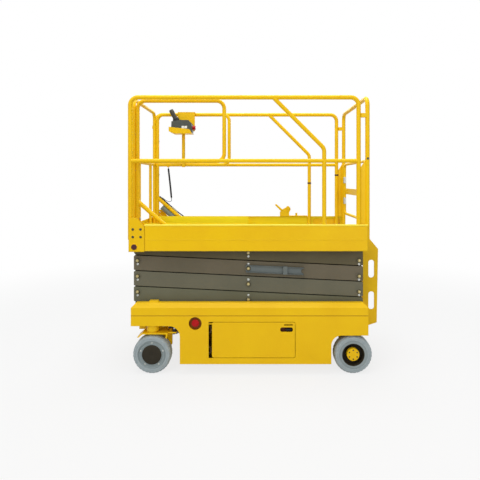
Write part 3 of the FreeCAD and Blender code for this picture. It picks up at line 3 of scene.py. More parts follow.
import bmesh
import bpy
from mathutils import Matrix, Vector


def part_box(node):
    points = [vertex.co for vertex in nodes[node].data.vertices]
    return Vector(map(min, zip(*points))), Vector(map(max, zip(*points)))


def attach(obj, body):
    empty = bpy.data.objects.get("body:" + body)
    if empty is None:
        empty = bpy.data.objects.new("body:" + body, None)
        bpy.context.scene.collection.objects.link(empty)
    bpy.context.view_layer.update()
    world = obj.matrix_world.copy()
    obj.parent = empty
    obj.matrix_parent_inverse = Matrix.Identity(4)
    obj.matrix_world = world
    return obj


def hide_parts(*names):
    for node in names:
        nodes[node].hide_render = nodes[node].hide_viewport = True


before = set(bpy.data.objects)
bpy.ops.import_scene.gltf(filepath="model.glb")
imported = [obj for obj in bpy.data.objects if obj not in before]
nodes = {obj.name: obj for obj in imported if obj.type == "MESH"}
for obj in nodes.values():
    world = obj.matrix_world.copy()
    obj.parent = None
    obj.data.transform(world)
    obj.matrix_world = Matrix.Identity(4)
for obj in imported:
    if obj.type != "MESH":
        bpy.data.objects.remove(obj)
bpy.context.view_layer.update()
scene = bpy.context.scene
scene.view_settings.view_transform = "Standard"

# Studio. A pale floor that runs out into a plain white background, under large soft lamps,
# as for a catalogue picture of a machine. The camera stands level with the platform's floor.


def colour(code):
    """An sRGB hex colour as the linear values that a shader takes."""
    channels = [int(code[i:i + 2], 16) / 255 for i in (1, 3, 5)]
    return [c / 12.92 if c <= 0.04045 else ((c + 0.055) / 1.055) ** 2.4 for c in channels] + [1.0]


def add(tree, kind, inputs={}, **settings):
    """A shader node with its settings. An input is a value, or the output of another node."""
    made = tree.nodes.new(kind)
    for name, value in settings.items():
        setattr(made, name, value)
    for name, value in inputs.items():
        if isinstance(value, bpy.types.NodeSocket):
            tree.links.new(value, made.inputs[name])
        else:
            made.inputs[name].default_value = value
    return made


def empty_material(name):
    material = bpy.data.materials.new(name)
    material.use_nodes = True
    material.node_tree.nodes.clear()
    return material, material.node_tree


world = bpy.data.worlds.new("studio")
scene.world = world
world.use_nodes = True
sky = world.node_tree
sky.nodes.clear()
path = add(sky, "ShaderNodeLightPath")
seen = add(sky, "ShaderNodeMath", {0: path.outputs["Is Camera Ray"], 1: path.outputs["Is Glossy Ray"]},
           operation="MAXIMUM")
seen = add(sky, "ShaderNodeMath", {0: seen.outputs[0], 1: path.outputs["Is Transmission Ray"]},
           operation="MAXIMUM")
fill = add(sky, "ShaderNodeBackground", {"Color": colour("#FFFFFF"), "Strength": 0.28})
white = add(sky, "ShaderNodeBackground", {"Color": colour("#FFFFFF"), "Strength": 1.0})
both = add(sky, "ShaderNodeMixShader", {0: seen.outputs[0], 1: fill.outputs[0], 2: white.outputs[0]})
add(sky, "ShaderNodeOutputWorld", {"Surface": both.outputs[0]})

# the floor is painted pale grey round the machine and turns into the background further out
floor_size, floor_near, floor_far = 60.0, 2.6, 6.5
floor_paint, tree = empty_material("pale_studio_floor")
place = add(tree, "ShaderNodeTexCoord")
away = add(tree, "ShaderNodeVectorMath", {0: place.outputs["Object"]}, operation="LENGTH")
fade = add(tree, "ShaderNodeMapRange", {"Value": away.outputs["Value"], "From Min": floor_near,
                                        "From Max": floor_far, "To Min": 0.8},
           interpolation_type="SMOOTHSTEP")
paint = add(tree, "ShaderNodeBsdfDiffuse", {"Color": colour("#CFCFCF")})
glow = add(tree, "ShaderNodeEmission", {"Color": colour("#FFFFFF"), "Strength": 1.0})
path = add(tree, "ShaderNodeLightPath")
seen = add(tree, "ShaderNodeMath", {0: path.outputs["Is Camera Ray"], 1: path.outputs["Is Glossy Ray"]},
           operation="MAXIMUM")
seen = add(tree, "ShaderNodeMath", {0: seen.outputs[0], 1: fade.outputs[0]}, operation="MULTIPLY")
both = add(tree, "ShaderNodeMixShader", {0: seen.outputs[0], 1: paint.outputs[0], 2: glow.outputs[0]})
add(tree, "ShaderNodeOutputMaterial", {"Surface": both.outputs[0]})
floor = bpy.data.objects.new("floor", bpy.data.meshes.new("floor"))
half = floor_size / 2
floor.data.from_pydata([(-half, -half, 0), (half, -half, 0), (half, half, 0), (-half, half, 0)], [],
                       [(0, 1, 2, 3)])
floor.data.materials.append(floor_paint)
scene.collection.objects.link(floor)

for name, spot, aim, wide, watts in (
        ("key_lamp", (-3.5, -5.5, 6.0), (0, 0, 1.2), 4.5, 215),
        ("front_lamp", (3.0, -6.5, 3.0), (0, 0, 1.0), 4.5, 112),
        ("back_lamp", (1.5, 6.0, 5.0), (0, 0, 1.2), 5.0, 150),
        ("top_lamp", (0.0, 0.0, 7.5), (0, 0, 0), 5.0, 390)):
    lamp = bpy.data.lights.new(name, "AREA")
    lamp.shape = "SQUARE"
    lamp.size = wide
    lamp.energy = watts
    holder = bpy.data.objects.new(name, lamp)
    holder.location = spot
    holder.rotation_euler = (Vector(aim) - Vector(spot)).to_track_quat("-Z", "Y").to_euler()
    scene.collection.objects.link(holder)

camera = bpy.data.objects.new("camera", bpy.data.cameras.new("camera"))
camera.location = (-0.043, -4.565, 1.820)
camera.rotation_euler = (math.radians(90), 0, 0)
camera.data.sensor_width = 36
camera.data.lens = 31.9
camera.data.shift_x = -0.0276
camera.data.shift_y = -0.1235
scene.collection.objects.link(camera)
scene.camera = camera

# Chassis, body panels and platform. Folded and welded steel sheet and tube, degreased,
# primed and sprayed with one coat of yellow machine enamel.


def bumped(tree, place, scales, depth, edge=None):
    """A fine relief: the sum of noises, each one a feature size in metres. edge is the normal
    that the relief starts from."""
    last = edge
    for size, share in scales:
        grain = add(tree, "ShaderNodeTexNoise", {"Vector": place, "Scale": 1 / size, "Detail": 2.0})
        inputs = {"Height": grain.outputs["Fac"], "Distance": depth * share, "Strength": 0.6}
        if last is not None:
            inputs["Normal"] = last.outputs["Normal"]
        last = add(tree, "ShaderNodeBump", inputs)
    return last.outputs["Normal"]


def enamel(name, tone, dusty, shine, patches=(), bend=0.003):
    """Sprayed machine enamel: an even colour with faint clouds where the coat is thinner,
    the slight orange peel of sprayed paint, and a soft gloss that dust dulls in patches.
    Each patch is another colour and its region: axes, each with a middle and a half width.
    bend is the radius that the sheet's folded edges show."""
    material, tree = empty_material(name)
    place = add(tree, "ShaderNodeTexCoord").outputs["Object"]
    # clouds of 0.4 m, broken up at 0.06 m
    cloud = add(tree, "ShaderNodeTexNoise", {"Vector": place, "Scale": 1 / 0.4, "Detail": 5.0,
                                             "Roughness": 0.6})
    share = add(tree, "ShaderNodeMapRange", {"Value": cloud.outputs["Fac"], "From Min": 0.35,
                                             "From Max": 0.75, "To Min": 0.0, "To Max": 1.0})
    mixed = add(tree, "ShaderNodeMixRGB", {"Fac": share.outputs[0], "Color1": colour(tone),
                                           "Color2": colour(dusty)})
    if patches:
        spot = add(tree, "ShaderNodeSeparateXYZ", {"Vector": place})
    for other, region in patches:
        inside = 1.0
        for axis, middle, reach in region:
            near = add(tree, "ShaderNodeMath", {0: spot.outputs[axis], 1: middle, 2: reach},
                       operation="COMPARE")
            inside = add(tree, "ShaderNodeMath", {0: near.outputs[0], 1: inside},
                         operation="MULTIPLY").outputs[0]
        mixed = add(tree, "ShaderNodeMixRGB", {"Fac": inside, "Color1": mixed.outputs[0],
                                               "Color2": colour(other)})
    dull = add(tree, "ShaderNodeMapRange", {"Value": cloud.outputs["Fac"], "From Min": 0.3,
                                            "From Max": 0.7, "To Min": shine, "To Max": shine + 0.12})
    edge = add(tree, "ShaderNodeBevel", {"Radius": bend})
    # orange peel is 2 to 4 mm across; drawn at 6 mm so that it shows
    surface = add(tree, "ShaderNodeBsdfPrincipled", {
        "Base Color": mixed.outputs[0], "Roughness": dull.outputs[0], "IOR": 1.5,
        "Specular IOR Level": 0.2,
        "Normal": bumped(tree, place, ((0.006, 1.0), (0.05, 4.0)), 0.00012, edge)})
    add(tree, "ShaderNodeOutputMaterial", {"Surface": surface.outputs[0]})
    return material


def dress(material, *names):
    """Gives CAD pieces their finish."""
    for name in names:
        for slot in nodes[name].material_slots:
            slot.material = material


yellow_enamel = enamel("yellow_sprayed_enamel", "#F6C808", "#F0BE0A", 0.34)
dress(yellow_enamel, "chassis_frame", "chassis_deck", "axle_mounts", "end_panels", "scissor_base",
      "ladder", "side_rail_left", "side_rail_right", "rear_hoop", "entry_gate", "rollout_deck",
      "rollout_rail", "control_cradle", "deck_lock")
# the platform's side beams are cold-rolled with wide round edges; the inner faces of the toe
# boards are painted paler and more lemon than the outside: a painted highlight for the light
# that falls on them from above and in front
dress(enamel("yellow_enamel_on_rolled_beams_with_painted_light", "#F6C808", "#F0BE0A", 0.34,
             (("#F8E014", (("Y", 0.0, 0.5568), ("Z", 1.35, 0.08))),), 0.014), "platform_frame")
# the doors hang on hinges that stand in the slit at their front edge; the slit is painted dark
# brown, painted shade in the slit, and the skirts' folded seam is a darker line of painted shade
dress(enamel("yellow_enamel_with_painted_slit_and_seam_shade", "#F6C808", "#F0BE0A", 0.34,
             (("#3E2A08", (("X", -0.446, 0.0155), ("Z", 0.3255, 0.169))),
              ("#C49208", (("Z", 0.552, 0.0035),)))),
      "side_skirts", "tray_door_left", "tray_door_right")
# each knuckle is yellow, and the drive motor on its inner side is black
dress(enamel("yellow_enamel_with_black_motor", "#F6C808", "#F0BE0A", 0.34,
             (("#1D1A16", (("Y", 0.0, 0.4248),)),)), "knuckle_left", "knuckle_right")

# Bolts, nuts and washers. Cold-forged steel, electroplated with zinc; the lock nuts are
# passivated yellow, which turns the plating to the colour of brass.


def plated(name, tone, second, rough):
    """Zinc plating: bright metal with a faint mottle of the passivate and a satin grain."""
    material, tree = empty_material(name)
    place = add(tree, "ShaderNodeTexCoord").outputs["Object"]
    mottle = add(tree, "ShaderNodeTexNoise", {"Vector": place, "Scale": 1 / 0.009, "Detail": 4.0})
    mixed = add(tree, "ShaderNodeMixRGB", {"Fac": mottle.outputs["Fac"], "Color1": colour(tone),
                                           "Color2": colour(second)})
    surface = add(tree, "ShaderNodeBsdfPrincipled", {
        "Base Color": mixed.outputs[0], "Metallic": 1.0, "Roughness": rough,
        "Normal": bumped(tree, place, ((0.002, 1.0),), 0.00008)})
    add(tree, "ShaderNodeOutputMaterial", {"Surface": surface.outputs[0]})
    return material


white_zinc = plated("white_zinc_plate", "#C4C6C2", "#AEB0AA", 0.36)
yellow_zinc = plated("yellow_zinc_plate", "#BDB084", "#A39566", 0.42)
# a darker copy of the zinc plate: painted shade, for washers and bolt heads that sit in shade
zinc_painted_shade = plated("zinc_plate_with_painted_shade", "#5A5846", "#48463A", 0.45)


def ring_points(at, axis, radius, height, steps, turn=0.0):
    """Points of a circle about an axis, a height along it."""
    way = Vector(axis).normalized()
    side = way.orthogonal().normalized()
    other = way.cross(side)
    centre = Vector(at) + way * height
    angles = [turn + 2 * math.pi * i / steps for i in range(steps)]
    return [centre + side * (radius * math.cos(a)) + other * (radius * math.sin(a)) for a in angles]


def turned(mesh, at, axis, profile, steps=24, turn=0.0):
    """A turned piece: profile holds radius and height pairs from one end to the other."""
    last = None
    for radius, height in profile:
        if radius <= 0:
            row = [mesh.verts.new(Vector(at) + Vector(axis).normalized() * height)]
        else:
            row = [mesh.verts.new(p) for p in ring_points(at, axis, radius, height, steps, turn)]
        if last is not None:
            for i in range(steps):
                j = (i + 1) % steps
                corners = [last[i % len(last)], last[j % len(last)], row[j % len(row)], row[i % len(row)]]
                corners = [v for k, v in enumerate(corners) if v not in corners[:k]]
                if len(corners) > 2:
                    mesh.faces.new(corners)
        last = row


def block(mesh, low, high, bevel=0.0):
    """A block between two corners, its edges rounded by bevel."""
    low, high = Vector(low), Vector(high)
    made = bmesh.ops.create_cube(mesh, size=1.0)["verts"]
    for v in made:
        v.co = Vector([(low[k] + high[k]) / 2 + v.co[k] * (high[k] - low[k]) for k in range(3)])
    if bevel > 0:
        edges = list({e for v in made for e in v.link_edges})
        bmesh.ops.bevel(mesh, geom=edges, offset=bevel, segments=2, profile=0.5, affect="EDGES")


def piece(name, mesh, body, material, sharp=35.0):
    """Makes one named piece of a mesh, smooth but for edges sharper than an angle, on its body."""
    bmesh.ops.recalc_face_normals(mesh, faces=mesh.faces)
    for face in mesh.faces:
        face.smooth = True
    for edge in mesh.edges:
        if len(edge.link_faces) == 2 and edge.calc_face_angle(0.0) > math.radians(sharp):
            edge.smooth = False
    data = bpy.data.meshes.new(name)
    mesh.to_mesh(data)
    mesh.free()
    data.materials.append(material)
    made = bpy.data.objects.new(name, data)
    scene.collection.objects.link(made)
    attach(made, body)
    return made


def hex_bolt(mesh, at, axis, across, turn=0.0):
    """A hexagon head on its washer; across is the head's width over its corners."""
    turned(mesh, at, axis, [(0, 0), (across * 0.72, 0), (across * 0.72, across * 0.1),
                            (across * 0.66, across * 0.14), (0, across * 0.14)], 20)
    turned(mesh, at, axis, [(0, across * 0.13), (across * 0.5, across * 0.14), (across * 0.5, across * 0.42),
                            (across * 0.43, across * 0.5), (0, across * 0.5)], 6, turn)


# Scissor arms. Rectangular steel tube with welded bushes, sprayed olive-grey. Each level has
# its own tone, darker and browner towards the top: painted shade under the platform. Each pin's
# end carries a washer, a lock nut and a set bolt beside it.
for level, tone, dusty in ((1, "#6C6C58", "#62624E"), (2, "#6E6B59", "#646353"),
                           (3, "#6C6452", "#605A49"), (4, "#5E5740", "#544D36")):
    dress(enamel("olive_grey_enamel_%d" % level, tone, dusty, 0.42), "outer_arms_%d" % level,
          "inner_arms_%d" % level)

pin_front, pin_middle, pin_rear = -1.156, -0.090, 0.976
pin_base, pin_pitch = 0.602, 0.150
pin_end, arm_face = 0.471, 0.465
# the safety prop lies on the near middle pin of the third level, whose nut stands further out
prop_pin_face = 0.4765
washer = [(0, 0), (0.023, 0), (0.023, 0.0015), (0.021, 0.003), (0, 0.003)]
lock_nut = [(0, 0), (0.0165, 0), (0.0165, 0.007), (0.0135, 0.0105), (0, 0.0105)]
pin_tip = [(0.0085, 0), (0.0085, 0.002), (0.006, 0.003), (0, 0.003)]
for level in range(4):
    body = "outer_%d" % (level + 1)
    dark, brass, zinc = bmesh.new(), bmesh.new(), bmesh.new()
    low, high = pin_base + pin_pitch * level, pin_base + pin_pitch * (level + 1)
    middle = (low + high) / 2
    spots = [(pin_front, high, -0.036), (pin_middle, middle, -0.036 if level == 3 else 0.040)]
    if level > 0:
        spots.append((pin_rear, low, -0.036))
    for side in (-1, 1):
        for x, z, set_off in spots:
            out = (0, side, 0)
            face = pin_end
            if level == 2 and side < 0 and x == pin_middle:
                face = prop_pin_face
            turned(dark, (x, side * face, z), out, washer)
            turned(brass, (x, side * (face + 0.003), z), out, lock_nut, 6, 0.3)
            turned(brass, (x, side * (face + 0.0135), z), out, pin_tip)
            hex_bolt(zinc, (x, side * (arm_face + 0.002), z + set_off), out, 0.015, 0.2)
    # the washers take the darker zinc, painted shade
    piece("pin_washers_%d" % (level + 1), dark, body, zinc_painted_shade)
    piece("pin_nuts_%d" % (level + 1), brass, body, yellow_zinc)
    piece("pin_set_bolts_%d" % (level + 1), zinc, body, white_zinc)

# Lift cylinder. A steel barrel sprayed black, with a chromed rod.


def chromed(name):
    """Hard chrome on a ground rod: a mirror with the fine rings of the grinding wheel."""
    material, tree = empty_material(name)
    place = add(tree, "ShaderNodeTexCoord").outputs["Object"]
    surface = add(tree, "ShaderNodeBsdfPrincipled", {
        "Base Color": colour("#D9DCDE"), "Metallic": 1.0, "Roughness": 0.12,
        "Normal": bumped(tree, place, ((0.0015, 1.0),), 0.00003)})
    add(tree, "ShaderNodeOutputMaterial", {"Surface": surface.outputs[0]})
    return material


black_enamel = enamel("black_sprayed_enamel", "#26272A", "#303134", 0.38)
dress(black_enamel, "lift_cylinder_barrel", "rear_axle", "tie_rod", "tray_left", "tray_right", "power_unit")
dress(chromed("hard_chrome"), "lift_cylinder_rod")

# Safety prop. A folded steel channel, sprayed blue-grey, that hangs on the third arm.
dress(enamel("blue_grey_enamel", "#6F7674", "#656C6B", 0.42), "safety_prop")

# Tyres and rims. Solid grey rubber that leaves no marks, pressed on cast iron rims.


def moulded_rubber(name, tone, second):
    """Pressed rubber: matt, with a bloom of lighter dust and the fine grain of the mould."""
    material, tree = empty_material(name)
    place = add(tree, "ShaderNodeTexCoord").outputs["Object"]
    bloom = add(tree, "ShaderNodeTexNoise", {"Vector": place, "Scale": 1 / 0.03, "Detail": 6.0,
                                             "Roughness": 0.65})
    share = add(tree, "ShaderNodeMapRange", {"Value": bloom.outputs["Fac"], "From Min": 0.3, "From Max": 0.7})
    mixed = add(tree, "ShaderNodeMixRGB", {"Fac": share.outputs[0], "Color1": colour(tone),
                                           "Color2": colour(second)})
    surface = add(tree, "ShaderNodeBsdfPrincipled", {
        "Base Color": mixed.outputs[0], "Roughness": 0.72, "IOR": 1.5,
        "Normal": bumped(tree, place, ((0.0025, 1.0), (0.012, 3.0)), 0.00025)})
    add(tree, "ShaderNodeOutputMaterial", {"Surface": surface.outputs[0]})
    return material


grey_tyre_rubber = moulded_rubber("grey_non_marking_rubber", "#9AA6AA", "#A9B4B6")
cast_iron = enamel("brown_painted_cast_iron", "#2C271C", "#353024", 0.5)
tyre_enamel = enamel("grey_rim_enamel", "#8E9A9C", "#98A3A4", 0.42)


def tyre(mesh, at, radius, half, steps=160):
    """A solid tyre about Y: bead, ringed side walls, notched shoulders and a grooved tread."""
    inner = 0.1305
    side = [(inner, half - 0.006), (inner + 0.003, half - 0.001), (inner + 0.008, half),
            (inner + 0.015, half), (inner + 0.0165, half - 0.003), (inner + 0.020, half - 0.003),
            (inner + 0.0215, half - 0.0005), (radius - 0.016, half - 0.0005), (radius - 0.012, half - 0.003),
            (radius - 0.007, half - 0.009), (radius - 0.002, half - 0.018), (radius, half - 0.022),
            (radius, 0.017), (radius - 0.004, 0.0155), (radius - 0.004, 0.0115), (radius, 0.010)]
    profile = side + [(r, -h) for r, h in reversed(side)]
    rows = []
    for r, h in profile:
        ring = []
        for i in range(steps):
            angle = 2 * math.pi * i / steps
            notch = 0.0035 if i % 5 == 0 and r > radius - 0.013 and abs(h) > 0.030 else 0.0
            ring.append(mesh.verts.new((at[0] + (r - notch) * math.cos(angle), at[1] + h,
                                        at[2] + (r - notch) * math.sin(angle))))
        rows.append(ring)
    rows.append(rows[0])
    for low, high in zip(rows, rows[1:]):
        for i in range(steps):
            j = (i + 1) % steps
            mesh.faces.new((low[i], low[j], high[j], high[i]))


hub_face, front_bolt_ring, rear_bolt_ring = 0.505, 0.110, 0.042
for side, word in ((-1, "left"), (1, "right")):
    for end in ("front", "rear"):
        low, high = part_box("tyre_%s_%s" % (end, word))
        centre = (low + high) / 2
        radius = (high.z - low.z) / 2
        body = "wheel_%s_%s" % (end, word)
        mesh = bmesh.new()
        tyre(mesh, centre, radius, (high.y - low.y) / 2)
        made = piece("tyre_%s_%s_rubber" % (end, word), mesh, body, grey_tyre_rubber, 28)
        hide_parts("tyre_%s_%s" % (end, word))
        face = (centre.x, side * hub_face, centre.z)
        out = (0, side, 0)
        mesh, bolts = bmesh.new(), bmesh.new()
        if end == "front":
            turned(mesh, face, out, [(0.131, -0.050), (0.131, 0.0545), (0.127, 0.0555), (0.124, 0.052),
                                     (0.121, 0.046), (0.099, 0.044), (0.096, 0.051), (0.0925, 0.051),
                                     (0.0925, 0.042), (0, 0.042)], 96)
            made = piece("front_rim_" + word, mesh, body, tyre_enamel)
            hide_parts("rim_front_" + word)
            cap = bmesh.new()
            turned(cap, face, out, [(0.0922, 0.040), (0.0922, 0.0505), (0.089, 0.0525), (0.012, 0.0535),
                                    (0.010, 0.0525), (0, 0.0525)], 96)
            piece("front_hub_cover_" + word, cap, body, cast_iron)
            for i in range(5):
                angle = math.radians(90 + 72 * i)
                hex_bolt(bolts, (centre.x + front_bolt_ring * math.cos(angle), side * (hub_face + 0.0445),
                                 centre.z + front_bolt_ring * math.sin(angle)), out, 0.012, angle)
            piece("front_rim_bolts_" + word, bolts, body, white_zinc)
        else:
            turned(mesh, face, out, [(0.131, -0.050), (0.131, 0.0535), (0.106, 0.0535), (0.102, 0.052),
                                     (0.100, 0.046), (0.097, -0.015), (0.092, -0.019), (0.060, -0.019),
                                     (0.060, 0.010), (0, 0.010)], 96)
            made = piece("rear_rim_" + word, mesh, body, cast_iron)
            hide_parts("rim_rear_" + word)
            lip = bmesh.new()
            turned(lip, face, out, [(0.1308, 0.050), (0.1308, 0.0562), (0.112, 0.0562), (0.106, 0.0552),
                                    (0.106, 0.050)], 96)
            piece("rear_rim_lip_" + word, lip, body, tyre_enamel)
            cap = bmesh.new()
            turned(cap, face, out, [(0.059, -0.018), (0.059, 0.0475), (0.0565, 0.0495), (0, 0.0495)], 72)
            piece("rear_hub_cap_" + word, cap, body, yellow_enamel)
            for i in range(6):
                angle = math.radians(30 + 60 * i)
                hex_bolt(bolts, (centre.x + rear_bolt_ring * math.cos(angle), side * (hub_face + 0.0495),
                                 centre.z + rear_bolt_ring * math.sin(angle)), out, 0.009, angle)
            piece("rear_cap_bolts_" + word, bolts, body, black_enamel)

# Emergency stop. A moulded red mushroom button in its recess in the near skirt.


def moulded_plastic(name, tone, rough):
    """Injection-moulded plastic: one deep colour, a soft shine and a very fine spark grain."""
    material, tree = empty_material(name)
    place = add(tree, "ShaderNodeTexCoord").outputs["Object"]
    tint = add(tree, "ShaderNodeTexNoise", {"Vector": place, "Scale": 1 / 0.02, "Detail": 3.0})
    deep = add(tree, "ShaderNodeHueSaturation", {"Color": colour(tone), "Fac": 1.0})
    value = add(tree, "ShaderNodeMapRange", {"Value": tint.outputs["Fac"], "From Min": 0.3, "From Max": 0.7,
                                             "To Min": 0.92, "To Max": 1.06})
    tree.links.new(value.outputs[0], deep.inputs["Value"])
    surface = add(tree, "ShaderNodeBsdfPrincipled", {
        "Base Color": deep.outputs[0], "Roughness": rough, "IOR": 1.46, "Specular IOR Level": 0.25,
        "Normal": bumped(tree, place, ((0.0012, 1.0),), 0.00005)})
    add(tree, "ShaderNodeOutputMaterial", {"Surface": surface.outputs[0]})
    return material


red_plastic = moulded_plastic("red_moulded_plastic", "#B8060C", 0.3)
black_plastic = moulded_plastic("black_moulded_plastic", "#1E1F20", 0.45)
grey_plastic = moulded_plastic("grey_moulded_plastic", "#4C514C", 0.5)
low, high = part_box("emergency_stop")
stop_x, stop_z = (low.x + high.x) / 2, (low.z + high.z) / 2
mesh = bmesh.new()
turned(mesh, (stop_x, high.y, stop_z), (0, -1, 0), [
    (0.022, 0.0), (0.022, 0.006), (0.016, 0.008), (0.016, 0.012), (0.0335, 0.013), (0.035, 0.016),
    (0.034, 0.019), (0.028, 0.0215), (0.016, 0.0232), (0, 0.0238)], 48)
made = piece("emergency_button", mesh, "chassis", red_plastic)
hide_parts("emergency_stop")
# the recess is lined with a thin brown cup that is painted shade: it darkens the recess as
# shade would; the cup's rim is painted over in yellow enamel
skirt_face, recess_depth = 0.571, 0.0215
cup = bmesh.new()
turned(cup, (stop_x, -skirt_face, stop_z), (0, -1, 0), [
    (0.0596, -0.0005), (0.0596, -recess_depth), (0.0, -recess_depth), (0.0, -0.0205),
    (0.0580, -0.0205), (0.0580, -0.0005)], 56)
piece("emergency_recess_painted_shade", cup, "chassis", moulded_plastic("recess_lining_painted_shade", "#8A4A0A", 0.5))
rim = bmesh.new()
turned(rim, (stop_x, -0.5725, stop_z), (0, -1, 0), [
    (0.0600, -0.002), (0.0606, 0.0008), (0.0630, 0.0014), (0.0655, 0.0008), (0.0662, -0.002)], 56)
piece("emergency_rim", rim, "chassis", yellow_enamel)

# Corner plates. Steel plates that tie the front posts to the platform, each with four
# flanged bolts, and a round red reflector under them.


def clear_plastic(name, tone):
    """Moulded acrylic reflector: deep colour under a hard gloss, cut into fine cube corners."""
    material, tree = empty_material(name)
    place = add(tree, "ShaderNodeTexCoord").outputs["Object"]
    # cube corners are 2 to 3 mm across
    cells = add(tree, "ShaderNodeTexVoronoi", {"Vector": place, "Scale": 1 / 0.003})
    mixed = add(tree, "ShaderNodeMixRGB", {"Fac": cells.outputs["Distance"], "Color1": colour(tone),
                                           "Color2": colour("#2A0204")})
    relief = add(tree, "ShaderNodeBump", {"Height": cells.outputs["Distance"], "Distance": 0.0004,
                                          "Strength": 0.5})
    surface = add(tree, "ShaderNodeBsdfPrincipled", {"Base Color": mixed.outputs[0], "Roughness": 0.12,
                                                     "IOR": 1.49, "Normal": relief.outputs["Normal"]})
    add(tree, "ShaderNodeOutputMaterial", {"Surface": surface.outputs[0]})
    return material


plate_face = 0.566
bolts, rims, lenses = bmesh.new(), bmesh.new(), bmesh.new()
for side in (-1, 1):
    for x in (-1.1759, -1.1026):
        for z in (1.362, 1.290):
            hex_bolt(bolts, (x, side * plate_face, z), (0, side, 0), 0.017, 0.4)
    spot = (-1.1635, side * plate_face, 1.196)
    turned(rims, spot, (0, side, 0), [(0.030, 0), (0.030, 0.004), (0.027, 0.005), (0.027, 0.003),
                                      (0, 0.003)], 40)
    turned(lenses, spot, (0, side, 0), [(0.0268, 0.003), (0.0262, 0.0048), (0.018, 0.0056),
                                        (0, 0.006)], 40)
# the corner plate bolts take the darker zinc, painted shade
piece("corner_plate_bolts", bolts, "platform", zinc_painted_shade)
piece("reflector_rims", rims, "platform", yellow_enamel)
piece("reflector_lenses", lenses, "platform", clear_plastic("red_acrylic_reflector", "#560406"))

# Toe boards. A rolled bead runs along the near beam's top edge, and folded strips stand along
# the roll-out deck's sides, inside its rails.
mesh = bmesh.new()
bead = ((0.5600, 1.3935), (0.5600, 1.3980), (0.5590, 1.4020), (0.5570, 1.4055), (0.5540, 1.4080),
        (0.5500, 1.4090), (0.5470, 1.4085), (0.5470, 1.3935))
rows = [[mesh.verts.new((x, -y, z)) for y, z in bead] for x in (-1.070, 1.038)]
for k in range(len(bead)):
    m = (k + 1) % len(bead)
    mesh.faces.new((rows[0][k], rows[0][m], rows[1][m], rows[1][k]))
for row in rows:
    mesh.faces.new(row)
# the bead is painted paler than the beam: a painted highlight along its round edge
piece("beam_bead", mesh, "platform", enamel("yellow_enamel_painted_highlight", "#F8E24A", "#F2DA40", 0.34))
mesh = bmesh.new()
for side in (-1, 1):
    near, far = sorted((side * 0.3985, side * 0.4005))
    block(mesh, (-1.150, near, 1.2712), (-0.100, far, 1.4070), 0.0008)
# the strips are painted pale lemon: a painted highlight, like the inner faces of the platform's toe boards
piece("rollout_toe_boards", mesh, "rollout",
      enamel("yellow_enamel_toe_boards_painted_light", "#F8E014", "#F2D612", 0.34))

# Tread. Aluminium sheets rolled with raised lozenges, laid on the rear part of the platform's
# floor and on the roll-out deck.


def rolled_aluminium(name, tone, second):
    """Rolled aluminium: pale metal, dulled by boots, with short scratches along the sheet."""
    material, tree = empty_material(name)
    place = add(tree, "ShaderNodeTexCoord").outputs["Object"]
    # scratches are 1 mm wide and 40 mm long
    drawn = add(tree, "ShaderNodeMapping", {"Vector": place, "Scale": (0.03, 1.0, 1.0)})
    scratch = add(tree, "ShaderNodeTexNoise", {"Vector": drawn.outputs["Vector"], "Scale": 1 / 0.0015,
                                               "Detail": 3.0})
    cloud = add(tree, "ShaderNodeTexNoise", {"Vector": place, "Scale": 1 / 0.15, "Detail": 4.0})
    mixed = add(tree, "ShaderNodeMixRGB", {"Fac": cloud.outputs["Fac"], "Color1": colour(tone),
                                           "Color2": colour(second)})
    dull = add(tree, "ShaderNodeMapRange", {"Value": scratch.outputs["Fac"], "From Min": 0.3,
                                            "From Max": 0.7, "To Min": 0.32, "To Max": 0.5})
    relief = add(tree, "ShaderNodeBump", {"Height": scratch.outputs["Fac"], "Distance": 0.00005,
                                          "Strength": 0.5})
    surface = add(tree, "ShaderNodeBsdfPrincipled", {"Base Color": mixed.outputs[0], "Metallic": 1.0,
                                                     "Roughness": dull.outputs[0],
                                                     "Normal": relief.outputs["Normal"]})
    add(tree, "ShaderNodeOutputMaterial", {"Surface": surface.outputs[0]})
    return material


def lozenges(mesh, x0, x1, y0, y1, top, pitch=0.028):
    """Rows of raised lozenges, 26 by 8 mm, turned left and right by turns."""
    rows, columns = int((x1 - x0) / pitch), int((y1 - y0) / pitch)
    for i in range(rows):
        for j in range(columns):
            x = (x0 + x1) / 2 + pitch * (i - (rows - 1) / 2)
            y = (y0 + y1) / 2 + pitch * (j - (columns - 1) / 2)
            turn = math.radians(45 if (i + j) % 2 else -45)
            way = Vector((math.cos(turn), math.sin(turn), 0))
            across = Vector((-math.sin(turn), math.cos(turn), 0))
            rings = []
            for share, rise in ((1.0, 0.0), (0.62, 0.0016)):
                ends = [way * 0.013, across * 0.004, way * -0.013, across * -0.004]
                rings.append([mesh.verts.new(Vector((x, y, top + rise)) + end * share) for end in ends])
            for k in range(4):
                m = (k + 1) % 4
                mesh.faces.new((rings[0][k], rings[0][m], rings[1][m], rings[1][k]))
            mesh.faces.new(rings[1])


tread_metal = rolled_aluminium("rolled_aluminium_tread", "#B4B7B8", "#9FA2A3")
sheet, margin = 0.0006, 0.01
for name, body, x0, x1, reach, top in (
        ("floor_tread", "platform", -0.081, 1.013, 0.499, 1.2661),
        ("rollout_tread", "rollout", -1.150, -0.092, 0.400, 1.2711)):
    mesh = bmesh.new()
    block(mesh, (x0, -reach, top), (x1, reach, top + sheet))
    lozenges(mesh, x0 + margin, x1 - margin, -reach + margin, reach - margin, top + sheet)
    piece(name, mesh, body, tread_metal)

# Ladder steps. Pressed steel steps; rows of raised collars keep a boot from slipping. Each
# collar is an open ring on the step's own sheet.
mesh = bmesh.new()
for z in (0.420, 0.742, 1.064):
    for x in (1.105, 1.145, 1.185):
        for i in range(9):
            spot = (x, -0.18 + 0.045 * i, z)
            turned(mesh, spot, (0, 0, 1), [(0.011, 0), (0.0075, 0.003), (0.006, 0.003), (0.005, 0.0005)], 14)
piece("ladder_step_collars", mesh, "chassis", yellow_enamel)

